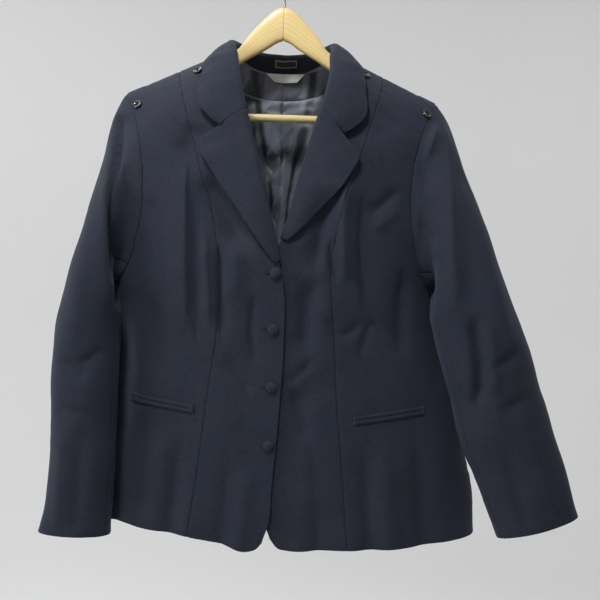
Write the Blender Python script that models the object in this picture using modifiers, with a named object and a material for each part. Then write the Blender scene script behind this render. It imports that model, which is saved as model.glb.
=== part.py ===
"""A tailored uniform jacket hanging on a wooden hanger with a trouser bar.

Metres, +Z up, X to the right of someone who looks at its front, and the front faces -Y.
The origin is where a rail bears inside the top of the hanger's hook. "Right" and "left" in
names are the wearer's, so the right front, which laps over the left one, lies at -X.
"""

from collections import namedtuple
from math import cos, pi, radians, sin

import bmesh
import bpy
import numpy as np
from mathutils import Matrix, Vector

for old in list(bpy.data.objects):
    bpy.data.objects.remove(old)

# Cloth and seams
WALL = 0.0018
LINING_WALL = 0.0010
SEAM_GAP = 0.0003
LINING_GAP = 0.0012
WELT_GAP = 0.0004

# Shoulder line: its height this far out, and how fast it falls
SHOULDER_OUT = 0.100
SHOULDER_HEIGHT = -0.144
SHOULDER_SLOPE = 0.465
SHOULDER_TIP_OUT = 0.2178
NECK_OUT = 0.072

# How far below the shoulder line the front and the back reach their full depth
FRONT_CAP = 0.085
BACK_CAP = 0.070
CAP_POWER = 0.70
SIDE_POWER = 0.80
RIDGE_EASE = 0.006
# Share of the turn from front to side over which the front's folds fade out
SIDE_FADE = 0.3

# The left front's edge lies this far behind the right front's, and is level with it this far out
TUCK = 0.0046
TUCK_FULL_OUT = 0.030
TUCK_NONE_OUT = 0.070

# Heights of the underarm, of the nape and of the top of the back's lining
UNDERARM_HEIGHT = -0.463
NAPE_HEIGHT = -0.152

# Rows and columns of the panels
ARMHOLE_ROWS = 11
SKIRT_ROWS = 9
CENTRE_COLUMNS = 8
SIDE_COLUMNS = 7
NECK_COLUMNS = 4
SHOULDER_COLUMNS = 7
NECK_SHARE = 0.35
UNDERARM_SHARE = 0.47
TOP_CROWDING = 1.45
EDGE_INSET = 0.0018
FOOT_INSET = 0.0004
SLEEVE_INSET = 0.0008
BACK_INSET = 0.0010

BodyLevel = namedtuple("BodyLevel", "height right_reach left_reach front_depth back_depth")
BODY_LEVELS = (
    BodyLevel(-0.840, 0.252, 0.2960, 0.086, 0.054),
    BodyLevel(-0.790, 0.247, 0.2878, 0.085, 0.052),
    BodyLevel(-0.720, 0.238, 0.2760, 0.081, 0.048),
    BodyLevel(-0.650, 0.230, 0.2615, 0.078, 0.046),
    BodyLevel(-0.565, 0.2235, 0.2400, 0.077, 0.045),
    BodyLevel(-0.510, 0.2205, 0.2265, 0.080, 0.047),
    BodyLevel(-0.463, 0.2190, 0.2190, 0.084, 0.050),
    BodyLevel(-0.400, 0.2215, 0.2215, 0.085, 0.053),
    BodyLevel(-0.300, 0.2335, 0.2335, 0.077, 0.054),
    BodyLevel(-0.200, 0.2500, 0.2500, 0.062, 0.050),
    BodyLevel(-0.110, 0.2620, 0.2620, 0.052, 0.045),
)

# A place on the front or the back as seen from in front: how far to the side, and its height
Spot = namedtuple("Spot", "x height")
RIGHT_PRINCESS = (
    Spot(-0.1435, -0.1642), Spot(-0.1300, -0.2150), Spot(-0.1050, -0.3000),
    Spot(-0.0830, -0.3700), Spot(-0.0705, -0.4450), Spot(-0.0725, -0.5250),
    Spot(-0.0815, -0.6000), Spot(-0.0905, -0.6950), Spot(-0.1020, -0.7914),
)
LEFT_PRINCESS = (
    Spot(0.1420, -0.1635), Spot(0.1300, -0.2150), Spot(0.1050, -0.3000),
    Spot(0.0850, -0.3620), Spot(0.0765, -0.4250), Spot(0.0815, -0.5150),
    Spot(0.0885, -0.6050), Spot(0.0975, -0.6900), Spot(0.1090, -0.8046),
)
RIGHT_FRONT_EDGE = (
    Spot(-0.0720, -0.1310), Spot(-0.0630, -0.1780), Spot(-0.0490, -0.2350),
    Spot(-0.0290, -0.3080), Spot(-0.0070, -0.3850), Spot(0.0035, -0.4220),
    Spot(0.0125, -0.4560), Spot(0.0160, -0.5430), Spot(0.0125, -0.6350),
    Spot(0.0070, -0.7200), Spot(0.0032, -0.7760), Spot(-0.0040, -0.7975),
)
RIGHT_HEM = (
    Spot(-0.0040, -0.7975), Spot(-0.0110, -0.8035), Spot(-0.0220, -0.8060),
    Spot(-0.0600, -0.7985), Spot(-0.1020, -0.7914),
)
LEFT_FRONT_EDGE = (
    Spot(0.0720, -0.1310), Spot(0.0715, -0.1780), Spot(0.0575, -0.2380),
    Spot(0.0375, -0.3080), Spot(0.0155, -0.3850), Spot(0.0020, -0.4150),
    Spot(-0.0100, -0.4400), Spot(-0.0140, -0.5200), Spot(-0.0140, -0.6350),
    Spot(-0.0110, -0.7150), Spot(-0.0030, -0.7650), Spot(0.0075, -0.7930),
)
LEFT_HEM = (
    Spot(0.0075, -0.7930), Spot(0.0170, -0.8018), Spot(0.0320, -0.8058),
    Spot(0.0700, -0.8050), Spot(0.1090, -0.8046),
)
RIGHT_SIDE_HEM = (Spot(-0.1020, -0.7914), Spot(-0.1500, -0.7840), Spot(-0.2050, -0.7800))
LEFT_SIDE_HEM = (Spot(0.1090, -0.8046), Spot(0.1800, -0.8048), Spot(0.2350, -0.8000))
SIDE_HEM_HEIGHT = {-1: -0.7830, 1: -0.7912}
BACK_HEM_HEIGHT = -0.7960
# Heights down the middle of the back and of its lining
BACK_MIDDLE = (-0.3500, -0.5500)
LINING_MIDDLE = -0.4500

# Front and back armhole from the shoulder tip towards the underarm
FRONT_ARMHOLE = (
    Spot(0.2178, -0.1988), Spot(0.2060, -0.2190), Spot(0.1920, -0.2553),
    Spot(0.1825, -0.3000), Spot(0.1805, -0.3450), Spot(0.1850, -0.3900),
    Spot(0.1955, -0.4290), Spot(0.2080, -0.4540),
)
BACK_ARMHOLE = (
    Spot(0.2178, -0.1988), Spot(0.2060, -0.2240), Spot(0.1965, -0.2700),
    Spot(0.1925, -0.3200), Spot(0.1920, -0.3700), Spot(0.1960, -0.4150),
    Spot(0.2060, -0.4460),
)
BACK_NECK = (Spot(0.0000, NAPE_HEIGHT), Spot(0.0350, -0.1480), Spot(0.0600, -0.1375))

# The largest folds of the front: a ridge has a positive rise, a trough a negative one
Fold = namedtuple("Fold", "x0 height0 x1 height1 half_width rise")
# Share of a fold's length over which it rises and falls
FOLD_FADE = 0.25
FRONT_FOLDS = (
    Fold(-0.207, -0.440, -0.210, -0.900, 0.020, -0.022),
    Fold(-0.126, -0.310, -0.122, -0.530, 0.016, 0.006),
    Fold(-0.103, -0.330, -0.098, -0.520, 0.015, -0.006),
    Fold(0.092, -0.310, 0.094, -0.440, 0.015, 0.005),
    Fold(0.060, -0.360, 0.052, -0.470, 0.015, -0.004),
)

# The turned front edge: a row at this height of the front's edge, and where its free edge lies
Turn = namedtuple("Turn", "seam_height edge_x edge_height")
RIGHT_LAPEL = (
    Turn(-0.4200, -0.0040, -0.4235),
    Turn(-0.4000, -0.0190, -0.4042),
    Turn(-0.3422, -0.0580, -0.3515),
    Turn(-0.3107, -0.0773, -0.3251),
    Turn(-0.2780, -0.0975, -0.2940),
    Turn(-0.2640, -0.1032, -0.2790),
    Turn(-0.2510, -0.0985, -0.2655),
    Turn(-0.2330, -0.0775, -0.2522),
)
LEFT_LAPEL = (
    Turn(-0.3960, 0.0200, -0.3980),
    Turn(-0.3800, 0.0360, -0.3830),
    Turn(-0.3420, 0.0640, -0.3510),
    Turn(-0.3168, 0.0828, -0.3299),
    Turn(-0.2860, 0.0980, -0.3050),
    Turn(-0.2660, 0.1060, -0.2865),
    Turn(-0.2500, 0.0965, -0.2735),
    Turn(-0.2270, 0.0852, -0.2575),
)
# The collar from the notch to the middle of the back, on one side; "out" is how far to the side
CollarFront = namedtuple("CollarFront", "seam_height edge_out edge_height stand")
RIGHT_COLLAR = (
    CollarFront(-0.2330, 0.0775, -0.2522, 0.0006),
    CollarFront(-0.2160, 0.0925, -0.2400, 0.0006),
    CollarFront(-0.1990, 0.1045, -0.2267, 0.0008),
    CollarFront(-0.1860, 0.1074, -0.2042, 0.0010),
    CollarFront(-0.1700, 0.1046, -0.1810, 0.0014),
    CollarFront(-0.1500, 0.1030, -0.1620, 0.0020),
)
LEFT_COLLAR = (
    CollarFront(-0.2270, 0.0852, -0.2575, 0.0006),
    CollarFront(-0.2130, 0.1040, -0.2440, 0.0006),
    CollarFront(-0.2000, 0.1150, -0.2291, 0.0008),
    CollarFront(-0.1870, 0.1128, -0.2050, 0.0010),
    CollarFront(-0.1700, 0.1100, -0.1840, 0.0014),
    CollarFront(-0.1500, 0.1060, -0.1640, 0.0020),
)
CollarBack = namedtuple("CollarBack", "seam_out seam_height edge_out edge_height stand")
COLLAR_SHOULDER = CollarBack(0.0720, -0.1310, 0.1010, -0.1445, 0.0035)
COLLAR_BACK = (
    CollarBack(0.0600, -0.1375, 0.0900, -0.1640, 0.0100),
    CollarBack(0.0350, -0.1480, 0.0520, -0.1760, 0.0170),
    CollarBack(0.0000, -0.1520, 0.0000, -0.1790, 0.0200),
)
ROLL_RADIUS_BREAK = 0.0030
ROLL_RADIUS_NECK = 0.0052
LAPEL_GAP = 0.0006
# The collar's gap grows from this share of its half length on
COLLAR_GAP_FROM = 0.3
COLLAR_GAP_OVER = 0.3
COLLAR_FRONT_GAP = 0.0007
COLLAR_BACK_GAP = 0.0009
LAPEL_ROWS = 13
LAPEL_INSET = 0.0009
COLLAR_INSET = 0.0004
COLLAR_HALF_ROWS = 12
ROLL_STEPS = 5
FALL_STEPS = 4
TURN_LIFT = 0.0062
TURN_BELLY = 0.0030

# Sleeves: rings from the upper arm to the cuff; "out" is how far to the side
Ring = namedtuple("Ring", "inner_out inner_height outer_out outer_height centre_y half_depth")
RIGHT_SLEEVE = (
    Ring(0.2030, -0.5050, 0.2790, -0.4820, -0.0600, 0.0430),
    Ring(0.2028, -0.5450, 0.2885, -0.5300, -0.0620, 0.0425),
    Ring(0.2025, -0.5960, 0.2896, -0.5900, -0.0640, 0.0410),
    Ring(0.2022, -0.6600, 0.2876, -0.6600, -0.0660, 0.0375),
    Ring(0.2024, -0.7250, 0.2889, -0.7290, -0.0680, 0.0335),
    Ring(0.2048, -0.7864, 0.2999, -0.7976, -0.0690, 0.0290),
)
LEFT_SLEEVE = (
    Ring(0.2215, -0.5020, 0.3165, -0.4640, -0.0500, 0.0440),
    Ring(0.2340, -0.5540, 0.3340, -0.5130, -0.0510, 0.0430),
    Ring(0.2480, -0.6070, 0.3530, -0.5680, -0.0520, 0.0410),
    Ring(0.2680, -0.6640, 0.3730, -0.6290, -0.0530, 0.0380),
    Ring(0.2930, -0.7190, 0.3940, -0.6880, -0.0540, 0.0340),
    Ring(0.3128, -0.7749, 0.4159, -0.7473, -0.0550, 0.0300),
)
SLEEVE_COLUMNS = 2 * ARMHOLE_ROWS
UPPER_FROM, UPPER_TO = -4, 8
CAP_ROWS = 9
TUBE_ROWS = 12
CAP_CROWDING = 1.25
CAP_OUT = 0.0100
CAP_ASIDE = {-1: 0.0500, 1: 0.0300}
TIP_GAP = 0.0007
CAP_FORWARD = 0.0110
CAP_BACKWARD = 0.0030
UNDERARM_FORWARD = 0.0150
CAP_DROP = 0.0450
CAP_PULL = 0.34
TUBE_HEAD = 0.04
# Towards the tip and the underarm the armhole's ease and push grow by these powers
TIP_POWER = 6
UNDERARM_POWER = 5
# The wall's edge is square to the body's near the armhole, less so from here round to the underarm
SEAM_EASE = 0.04
BEND_FROM = 0.6
BEND_OVER = 0.4
BEND_SHARE = 0.5

# Pockets: two welts, one above the other
Pocket = namedtuple("Pocket", "x0 height0 x1 height1")
POCKETS = {
    -1: Pocket(-0.1870, -0.6152, -0.1007, -0.6268),
    1: Pocket(0.1120, -0.6351, 0.2060, -0.6200),
}
WELT_HEIGHT = 0.0052
WELT_WALL = 0.0012
WELT_COLUMNS = 8
WELT_HALF_GAP = 0.0002

# Buttons
FRONT_BUTTON_SPOTS = (
    Spot(0.0029, -0.4440), Spot(0.0023, -0.5176), Spot(0.0024, -0.5937), Spot(0.0012, -0.6706),
)
STRAP_BUTTON_SPOTS = (
    Spot(-0.1953, -0.2184), Spot(-0.1146, -0.1647), Spot(0.1133, -0.1623), Spot(0.1990, -0.2170),
)
BUTTON_STEPS = 20
BUTTON_GAP = 0.0004
# Profiles of the buttons: distance from the axis and height above the cloth
COVERED_BUTTON = (
    (0.0, 0.0052), (0.0026, 0.0050), (0.0048, 0.0043), (0.0064, 0.0030),
    (0.0069, 0.0020), (0.0064, 0.0011), (0.0030, 0.0008), (0.0030, 0.0), (0.0, 0.0),
)
STRAP_BUTTON = (
    (0.0, 0.0020), (0.0036, 0.0021), (0.0046, 0.0028), (0.0058, 0.0027),
    (0.0063, 0.0019), (0.0058, 0.0007), (0.0040, 0.0), (0.0, 0.0),
)

# Hanger: the arms' upper and lower lines, by distance from the middle
ArmStation = namedtuple("ArmStation", "out top bottom half_thickness")
ARM_STATIONS = (
    ArmStation(0.000, -0.0700, -0.1163, 0.0070),
    ArmStation(0.008, -0.0718, -0.1190, 0.0070),
    ArmStation(0.020, -0.0800, -0.1270, 0.0070),
    ArmStation(0.035, -0.0955, -0.1360, 0.0070),
    ArmStation(0.050, -0.1130, -0.1450, 0.0070),
    ArmStation(0.062, -0.1292, -0.1530, 0.0070),
    ArmStation(0.072, -0.1345, -0.1590, 0.0070),
    ArmStation(0.110, -0.1516, -0.1805, 0.0070),
    ArmStation(0.140, -0.1656, -0.1990, 0.0070),
    ArmStation(0.160, -0.1749, -0.2150, 0.0070),
    ArmStation(0.176, -0.1823, -0.2330, 0.0068),
    ArmStation(0.190, -0.1888, -0.2360, 0.0062),
    ArmStation(0.197, -0.1975, -0.2300, 0.0045),
)
ARM_RING = 14
ARM_SQUARENESS = 0.85
BAR_HEIGHT = -0.2250
BAR_RADIUS = 0.0055
BAR_REACH = 0.1740
WIRE_RADIUS = 0.0020
HOOK_RADIUS = 0.0220
HOOK_END_ANGLE = 210
STEM_FOOT = -0.0795
STEM = ((0.0, STEM_FOOT), (0.0, -0.0560), (0.0035, -0.0480), (0.0115, -0.0395), (0.0190, -0.0312))
FIT_GAP = 0.0003
BORE_CLEAR = 0.0500
BORE_SIDES = 24
BAR_SIDES = 24
WIRE_ROUNDNESS = 2
HOOK_STEP_ANGLE = 15
MERGE = 1e-4

# Labels in the neck, measured from the neck seam at the middle of the back
Label = namedtuple("Label", "name x0 x1 top_x0 top_x1 bottom top bottom_y top_y lean look")
LABEL_WALL = 0.0006
LABEL_COLUMNS = 6
# Lining of the back and the facing at its neck
LINING_TOP = (
    Spot(0.0, -0.1912), Spot(0.0300, -0.1882), Spot(0.0600, -0.1786), Spot(0.0760, -0.1685),
    Spot(0.1300, -0.1800), Spot(0.1920, -0.2120),
)
LINING_ARMHOLE = (
    Spot(0.2005, -0.2120), Spot(0.1965, -0.2700), Spot(0.1925, -0.3200), Spot(0.1920, -0.3700),
    Spot(0.1940, -0.4150), Spot(0.1990, -0.4380),
)
LINING_IN = 0.0135
LINING_SIDE_GIRTH = 1.22
LINING_HEM_HEIGHT = -0.7780
LINING_COLUMNS = 9
LINING_ROWS = 16
FacingSpot = namedtuple("FacingSpot", "out top bottom")
FACING = (
    FacingSpot(0.0000, -0.1535, -0.1900), FacingSpot(0.0150, -0.1533, -0.1895),
    FacingSpot(0.0300, -0.1520, -0.1870), FacingSpot(0.0450, -0.1490, -0.1830),
    FacingSpot(0.0600, -0.1450, -0.1770), FacingSpot(0.0720, -0.1445, -0.1700),
)
FACING_ROWS = 4
FACING_COLUMNS = 6


def smooth(xs, ys, x):
    """A smooth curve through the points (xs rising), held at its end values beyond them."""
    xs = np.asarray(xs, float)
    ys = np.asarray(ys, float)
    gaps = np.diff(xs)
    slopes = np.diff(ys) / gaps
    tangents = np.empty_like(ys)
    tangents[0], tangents[-1] = slopes[0], slopes[-1]
    tangents[1:-1] = (slopes[:-1] * gaps[1:] + slopes[1:] * gaps[:-1]) / (gaps[1:] + gaps[:-1])
    x = np.clip(x, xs[0], xs[-1])
    i = np.clip(np.searchsorted(xs, x, side="right") - 1, 0, len(gaps) - 1)
    gap = gaps[i]
    t = (x - xs[i]) / gap
    rest = 1 - t
    return (
        ys[i] * rest**2 * (1 + 2 * t)
        + ys[i + 1] * t**2 * (1 + 2 * rest)
        + tangents[i] * gap * t * rest**2
        - tangents[i + 1] * gap * t**2 * rest
    )


def ease(t):
    """From 0 to 1 with no corner at either end."""
    t = np.clip(t, 0, 1)
    return t * t * (3 - 2 * t)


def level(height, name):
    """A column of the body's levels at this height."""
    heights = [row.height for row in BODY_LEVELS]
    return smooth(heights, [getattr(row, name) for row in BODY_LEVELS], height)


def reach(side, height):
    return np.where(side < 0, level(height, "right_reach"), level(height, "left_reach"))


def shoulder_height(x):
    return SHOULDER_HEIGHT - SHOULDER_SLOPE * (np.abs(x) - SHOULDER_OUT)


def fold_rise(x, height):
    """How far the front's folds stand out here."""
    rise = np.zeros(np.broadcast(x, height).shape)
    for fold in FRONT_FOLDS:
        along_x, along_z = fold.x1 - fold.x0, fold.height1 - fold.height0
        length = along_x**2 + along_z**2
        t = ((x - fold.x0) * along_x + (height - fold.height0) * along_z) / length
        t = np.clip(t, 0, 1)
        away = np.hypot(x - fold.x0 - t * along_x, height - fold.height0 - t * along_z)
        fade = ease(t / FOLD_FADE) * ease((1 - t) / FOLD_FADE)
        rise = rise + fold.rise * fade * np.exp(-((away / fold.half_width) ** 2))
    return rise


def body_point(girth, height):
    """A point of the body's outer face: girth is 0 at the front edge, 1 at the side, 2 at the back."""
    angle = girth * pi / 2
    x = reach(girth, height) * np.sin(angle)
    turn = np.cos(angle)
    front = turn >= 0
    depth = np.where(front, level(height, "front_depth"), level(height, "back_depth"))
    below = np.clip((shoulder_height(x) - height) / np.where(front, FRONT_CAP, BACK_CAP), 0, 1)
    cap = (1 - (1 - below) ** 2) ** CAP_POWER
    y = np.where(front, -1, 1) * (SEAM_GAP / 2 + depth * np.abs(turn) ** SIDE_POWER * cap)
    y = y - np.where(front, fold_rise(x, height) * cap * ease(turn / SIDE_FADE), 0)
    return np.stack(np.broadcast_arrays(x, y, height), axis=-1)


def left_front_point(girth, height):
    """The left front's outer face, which is tucked behind the right front at the middle."""
    point = body_point(girth, height)
    share = (TUCK_NONE_OUT - point[..., 0]) / (TUCK_NONE_OUT - TUCK_FULL_OUT)
    point[..., 1] += TUCK * ease(share)
    return point


def unit(vectors):
    return vectors / np.maximum(np.linalg.norm(vectors, axis=-1, keepdims=True), 1e-12)


def body_normal(girth, height, point_of=body_point):
    """Outward, and upright in side view along the shoulder line, where front and back meet."""
    step = 1e-4
    across = point_of(girth + step, height) - point_of(girth - step, height)
    up = point_of(girth, height + step) - point_of(girth, height - step)
    normal = unit(np.cross(across, up))
    x = point_of(girth, height)[..., 0]
    normal[..., 1] *= ease((shoulder_height(x) - height) / RIDGE_EASE)
    return unit(normal)


def front_girth(x, height):
    return np.arcsin(np.clip(x / reach(x, height), -1, 1)) * 2 / pi


def back_girth(side, out, height):
    return side * (2 - np.arcsin(np.clip(out / reach(side, height), -1, 1)) * 2 / pi)


def front_depth_at(x, height):
    """How far in front of the hanger's plane the front's outer face lies at this spot."""
    return body_point(front_girth(x, height), height)[..., 1]


def edge_path(places, point_of=body_point, shares=None):
    """A smooth line through (girth, height) places, by its share of the length."""
    places = np.asarray(places, float)
    points = point_of(places[:, 0], places[:, 1])
    lengths = np.linalg.norm(np.diff(points, axis=0), axis=1)
    along = np.concatenate([[0], np.cumsum(lengths)]) / lengths.sum()
    if shares is not None:
        along = np.interp(along, *shares)

    def at(share):
        share = np.asarray(share, float)
        return np.stack([smooth(along, places[:, 0], share), smooth(along, places[:, 1], share)], axis=-1)

    return at


def front_places(spots):
    return [(float(front_girth(s.x, s.height)), s.height) for s in spots]


def back_places(side, spots):
    return [(float(back_girth(side, s.x, s.height)), s.height) for s in spots]


def joined(first, second, share):
    """One path after another, the first one up to this share of the whole."""

    def at(along):
        along = np.asarray(along, float)[..., None]
        head = first(np.clip(along[..., 0] / share, 0, 1))
        tail = second(np.clip((along[..., 0] - share) / (1 - share), 0, 1))
        return np.where(along <= share, head, tail)

    return at


def patch(inner, outer, top, bottom, across, down):
    """Places (girth, height) of a panel between its four edges: rows run down, columns across."""
    u = np.asarray(across)[None, :, None]
    v = np.asarray(down)[:, None, None]
    left, right = inner(down)[:, None, :], outer(down)[:, None, :]
    head, foot = top(across)[None, :, :], bottom(across)[None, :, :]
    corners = (
        (1 - u) * (1 - v) * inner(0.0)
        + u * (1 - v) * outer(0.0)
        + (1 - u) * v * inner(1.0)
        + u * v * outer(1.0)
    )
    return (1 - u) * left + u * right + (1 - v) * head + v * foot - corners


def rows_down():
    """Shares down a panel, crowded at the shoulder, with a row at the underarm."""
    armhole = UNDERARM_SHARE * (np.arange(ARMHOLE_ROWS + 1) / ARMHOLE_ROWS) ** TOP_CROWDING
    skirt = UNDERARM_SHARE + (1 - UNDERARM_SHARE) * np.arange(1, SKIRT_ROWS + 1) / SKIRT_ROWS
    return np.concatenate([armhole, skirt])


def inset(shares, amount=EDGE_INSET):
    """The same shares, drawn in a little at both ends for the gap at a seam."""
    shares = np.array(shares, float)
    shares[0] += amount
    shares[-1] -= amount
    return shares


def material(name, colour, roughness, metallic=0.0):
    made = bpy.data.materials.new(name)
    made.use_nodes = True
    shader = made.node_tree.nodes["Principled BSDF"]
    shader.inputs["Base Color"].default_value = (*colour, 1.0)
    shader.inputs["Roughness"].default_value = roughness
    shader.inputs["Metallic"].default_value = metallic
    return made


SHARP_ANGLE = 35

CLOTH = ((0.016, 0.020, 0.034), 0.85)
LINING_CLOTH = ((0.020, 0.021, 0.030), 0.35)
BUTTON_CLOTH = ((0.020, 0.024, 0.036), 0.75)
BLACK_RESIN = ((0.010, 0.010, 0.012), 0.30)
WOOD = ((0.78, 0.52, 0.22), 0.45)
STEEL = ((0.60, 0.60, 0.62), 0.25, 1.0)
BLACK_RIBBON = ((0.012, 0.012, 0.014), 0.60)
WHITE_RIBBON = ((0.80, 0.80, 0.78), 0.65)

LABELS = (
    Label(
        "woven_label", -0.0125, 0.0195, -0.0125, 0.0195,
        -0.1445, -0.1335, 0.0414, 0.0385, 0.32, BLACK_RIBBON,
    ),
    Label(
        "care_label", -0.0120, 0.0200, -0.0240, 0.0310,
        -0.1640, -0.1530, 0.0421, 0.0408, 0.135, WHITE_RIBBON,
    ),
)

jacket = bpy.data.collections.new("uniform_jacket")
bpy.context.scene.collection.children.link(jacket)


def add_mesh(name, points, faces, look, smooth_shading=True):
    """A closed mesh object with its faces pointing out."""
    mesh = bpy.data.meshes.new(name)
    mesh.from_pydata([tuple(map(float, p)) for p in points], [], [tuple(map(int, f)) for f in faces])
    shape = bmesh.new()
    shape.from_mesh(mesh)
    bmesh.ops.recalc_face_normals(shape, faces=shape.faces)
    shape.to_mesh(mesh)
    shape.free()
    if smooth_shading:
        mesh.shade_smooth()
        mesh.set_sharp_from_angle(angle=radians(SHARP_ANGLE))
    mesh.materials.append(material(name, *look))
    made = bpy.data.objects.new(name, mesh)
    jacket.objects.link(made)
    return made


def add_wall(name, outer, inner, look):
    """A wall of cloth between two sheets of points, each with rows and columns."""
    rows, columns = outer.shape[:2]
    count = rows * columns
    index = np.arange(count).reshape(rows, columns)
    faces = []
    for i in range(rows - 1):
        for j in range(columns - 1):
            a, b, c, d = index[i, j], index[i, j + 1], index[i + 1, j + 1], index[i + 1, j]
            near = np.linalg.norm(outer[i, j] - outer[i + 1, j + 1])
            far = np.linalg.norm(outer[i, j + 1] - outer[i + 1, j])
            for half in ((a, b, c), (a, c, d)) if near < far else ((a, b, d), (b, c, d)):
                faces.append(half)
                faces.append(tuple(k + count for k in reversed(half)))
    rim = [*index[0, :], *index[1:, -1], *index[-1, -2::-1], *index[-2:0:-1, 0]]
    for a, b in zip(rim, rim[1:] + rim[:1]):
        faces.append((b, a, a + count))
        faces.append((b, a + count, b + count))
    return add_mesh(name, np.concatenate([outer.reshape(-1, 3), inner.reshape(-1, 3)]), faces, look)


def add_panel(name, places, look=CLOTH, wall=WALL, point_of=body_point, sunk=0.0):
    """A panel of the body, whose outer face lies this far inside the body's own."""
    girth, height = places[..., 0], places[..., 1]
    outer = point_of(girth, height)
    normal = body_normal(girth, height, point_of)
    return add_wall(name, outer - sunk * normal, outer - (sunk + wall) * normal, look)


def even(count):
    return np.linspace(0, 1, count + 1)


DOWN = rows_down()
SIDE_NAMES = {-1: "right", 1: "left"}
FRONT_TABLES = {
    -1: (RIGHT_FRONT_EDGE, RIGHT_PRINCESS, RIGHT_HEM, RIGHT_SIDE_HEM),
    1: (LEFT_FRONT_EDGE, LEFT_PRINCESS, LEFT_HEM, LEFT_SIDE_HEM),
}


def mirrored(spots, side):
    return [Spot(side * s.x, s.height) for s in spots]


def shoulder_places(side, out0, out1, back=False):
    outs = np.linspace(out0, out1, 5)
    heights = shoulder_height(outs)
    if back:
        return [(float(back_girth(side, o, h)), float(h)) for o, h in zip(outs, heights)]
    return [(float(front_girth(side * o, h)), float(h)) for o, h in zip(outs, heights)]


def outer_edge(side, back=False):
    """From the shoulder tip round the armhole to the underarm, then down the side seam."""
    if back:
        armhole = back_places(side, BACK_ARMHOLE)
    else:
        armhole = front_places(mirrored(FRONT_ARMHOLE, side))
    underarm = (side * 1.0, UNDERARM_HEIGHT)
    hem = (side * 1.0, SIDE_HEM_HEIGHT[side])
    middle = (side * 1.0, (UNDERARM_HEIGHT + SIDE_HEM_HEIGHT[side]) / 2)
    return joined(edge_path([*armhole, underarm]), edge_path([underarm, middle, hem]), UNDERARM_SHARE)


def front_centre_places(side, across, down):
    edge, princess, hem, _ = FRONT_TABLES[side]
    point_of = left_front_point if side > 0 else body_point
    return patch(
        edge_path(front_places(edge), point_of),
        edge_path(front_places(princess)),
        edge_path(shoulder_places(side, NECK_OUT, abs(princess[0].x))),
        edge_path(front_places(hem), point_of),
        across,
        down,
    )


def front_side_places(side, across, down):
    _, princess, _, hem = FRONT_TABLES[side]
    corner = (side * 1.0, SIDE_HEM_HEIGHT[side])
    return patch(
        edge_path(front_places(princess)),
        outer_edge(side),
        edge_path(shoulder_places(side, abs(princess[0].x), SHOULDER_TIP_OUT)),
        edge_path([*front_places(hem), corner]),
        across,
        down,
    )


def back_panel_places(side, across, down):
    neck = back_places(side, [*BACK_NECK, Spot(NECK_OUT, shoulder_height(NECK_OUT))])
    shoulder = shoulder_places(side, NECK_OUT, SHOULDER_TIP_OUT, back=True)
    middle = [(side * 2.0, h) for h in (NAPE_HEIGHT, *BACK_MIDDLE, BACK_HEM_HEIGHT)]
    hem = [middle[-1], (side * 1.5, BACK_HEM_HEIGHT), (side * 1.0, SIDE_HEM_HEIGHT[side])]
    return patch(
        edge_path(middle),
        outer_edge(side, back=True),
        joined(edge_path(neck), edge_path(shoulder), NECK_SHARE),
        edge_path(hem),
        across,
        down,
    )


BACK_ACROSS = np.concatenate([
    NECK_SHARE * even(NECK_COLUMNS),
    NECK_SHARE + (1 - NECK_SHARE) * even(SHOULDER_COLUMNS)[1:],
])


def foot_inset(shares):
    """The same shares with the last one drawn in, as the first row lies right on a seam's ridge."""
    shares = np.array(shares, float)
    shares[-1] -= FOOT_INSET
    return shares


for side, word in SIDE_NAMES.items():
    rows = foot_inset(DOWN)
    centre = front_centre_places(side, inset(even(CENTRE_COLUMNS)), rows)
    add_panel(f"{word}_front_centre", centre, point_of=left_front_point if side > 0 else body_point)
    add_panel(f"{word}_front_side", front_side_places(side, inset(even(SIDE_COLUMNS)), rows))
    add_panel(f"{word}_back", back_panel_places(side, inset(BACK_ACROSS, BACK_INSET), rows))


def armhole_place(side, turn):
    """A place on the armhole: 0 or 1 at the shoulder's tip, 0.5 at the underarm, the front before it."""
    front = outer_edge(side)(UNDERARM_SHARE * np.clip(2 * turn, 0, 1) ** TOP_CROWDING)
    back = outer_edge(side, back=True)(UNDERARM_SHARE * np.clip(2 - 2 * turn, 0, 1) ** TOP_CROWDING)
    return np.where((turn <= 0.5)[..., None], front, back)


def sleeve_ring(side, turn, along):
    """A point of the sleeve's tube: along is 0 at the upper arm and 1 at the cuff."""
    rings = RIGHT_SLEEVE if side < 0 else LEFT_SLEEVE
    steps = np.linspace(0, 1, len(rings))
    inner_out, inner_height, outer_out, outer_height, centre_y, half_depth = (
        smooth(steps, [getattr(ring, name) for ring in rings], along) for name in Ring._fields
    )
    angle = turn * 2 * pi
    share = (1 + np.cos(angle)) / 2
    x = side * (inner_out + (outer_out - inner_out) * share)
    y = centre_y - np.sin(angle) * half_depth
    z = inner_height + (outer_height - inner_height) * share
    return np.stack(np.broadcast_arrays(x, y, z), axis=-1)


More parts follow.
